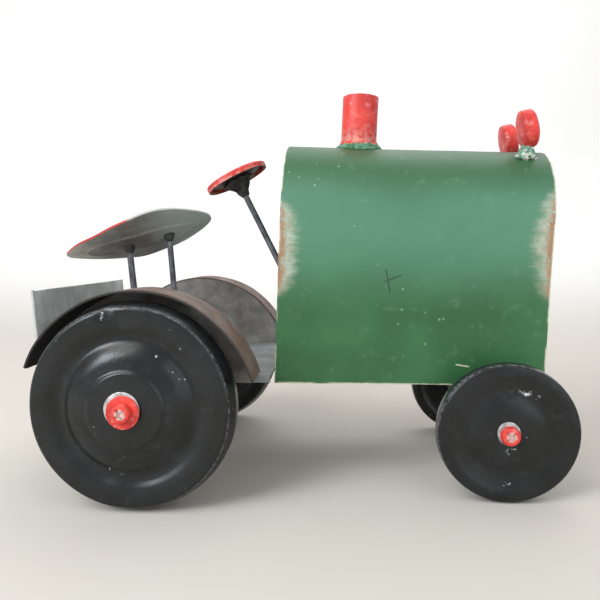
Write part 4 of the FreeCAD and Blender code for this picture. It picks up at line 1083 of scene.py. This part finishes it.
def buildFloor():
    s = stageLook
    profile = [(s["front"], 0.0)] + [(s["front"] + (s["behind"] - s["front"]) * i / 12,
        0.0) for i in range(1, 13)]
    for i in range(1, 17):
        a = math.pi / 2 * i / 16
        profile.append((s["behind"] + s["bend"] * math.sin(a), s["bend"] * (1 - math.cos(a))))
    profile.append((s["behind"] + s["bend"], s["high"]))
    mesh = bpy.data.meshes.new("floor")
    points, faces = [], []
    for y, z in profile:
        for x in (-s["width"] / 2, s["width"] / 2):
            points.append((x, y, z))
    for i in range(len(profile) - 1):
        faces.append((2 * i, 2 * i + 1, 2 * i + 3, 2 * i + 2))
    mesh.from_pydata(points, [], faces)
    mesh.materials.append(finishOf("paleFloor", floorEnamel))
    mesh.shade_smooth()
    floor = bpy.data.objects.new("floor", mesh)
    bpy.context.scene.collection.objects.link(floor)


buildFloor()
lampsLook = {
    "key": {"at": (-0.75, -0.85, 1.15), "to": (0.0, 0.0, 0.10), "size": 0.9, "power": 11.5,
        "colour": (1.0, 0.985, 0.96)},
    "window": {"at": (-0.82, -0.88, 0.58), "to": (-0.05, 0.0, 0.08), "size": 0.42, "power": 9.0,
        "colour": (0.82, 0.92, 1.0)},
    "fill": {"at": (0.9, -0.9, 0.5), "to": (0.0, 0.0, 0.10), "size": 1.2, "power": 5.0,
        "colour": (0.93, 0.96, 1.0)},
    "back": {"at": (0.2, 0.45, 1.1), "to": (0.0, 0.0, 0.12), "size": 0.8, "power": 3.4,
        "colour": (1.0, 1.0, 1.0)},
    "world": {"colour": (0.95, 0.97, 1.0), "strength": 0.62},
}
for name in ("key", "window", "fill", "back"):
    look = lampsLook[name]
    light = bpy.data.lights.new(name, "AREA")
    light.shape = "SQUARE"
    light.size = look["size"]
    light.energy = look["power"]
    light.color = look["colour"]
    lamp = bpy.data.objects.new(name, light)
    lamp.location = look["at"]
    lamp.rotation_mode = "QUATERNION"
    lamp.rotation_quaternion = (Vector(look["to"]) - Vector(look["at"])).to_track_quat("-Z", "Y")
    bpy.context.scene.collection.objects.link(lamp)
world = bpy.data.worlds.new("room")
world.use_nodes = True
sky = world.node_tree.nodes["Background"]
sky.inputs["Color"].default_value = (*lampsLook["world"]["colour"], 1)
sky.inputs["Strength"].default_value = lampsLook["world"]["strength"]
bpy.context.scene.world = world

cameraLook = {"at": (0.03102, -0.36441, 0.12684), "turn": -4.73, "tilt": -4.66, "roll": -0.31, "lens": 36.0,
    "sensor": 36.0}


def placeCamera():
    c = cameraLook
    turn, tilt, roll = (math.radians(c[key]) for key in ("turn", "tilt", "roll"))
    forward = Vector((math.sin(turn) * math.cos(tilt), math.cos(turn) * math.cos(tilt), math.sin(tilt)))
    right = Vector((math.cos(turn), -math.sin(turn), 0))
    up = right.cross(forward)
    rolledRight = right * math.cos(roll) + up * math.sin(roll)
    rolledUp = up * math.cos(roll) - right * math.sin(roll)
    data = bpy.data.cameras.new("camera")
    data.lens = c["lens"]
    data.sensor_width = c["sensor"]
    data.clip_start = 0.02
    camera = bpy.data.objects.new("camera", data)
    bpy.context.scene.collection.objects.link(camera)
    turnTo = Matrix((rolledRight, rolledUp, -forward)).transposed().to_4x4()
    camera.matrix_world = Matrix.Translation(c["at"]) @ turnTo
    bpy.context.scene.camera = camera


placeCamera()
bpy.context.scene.view_settings.view_transform = "Standard"
print("stage: built")
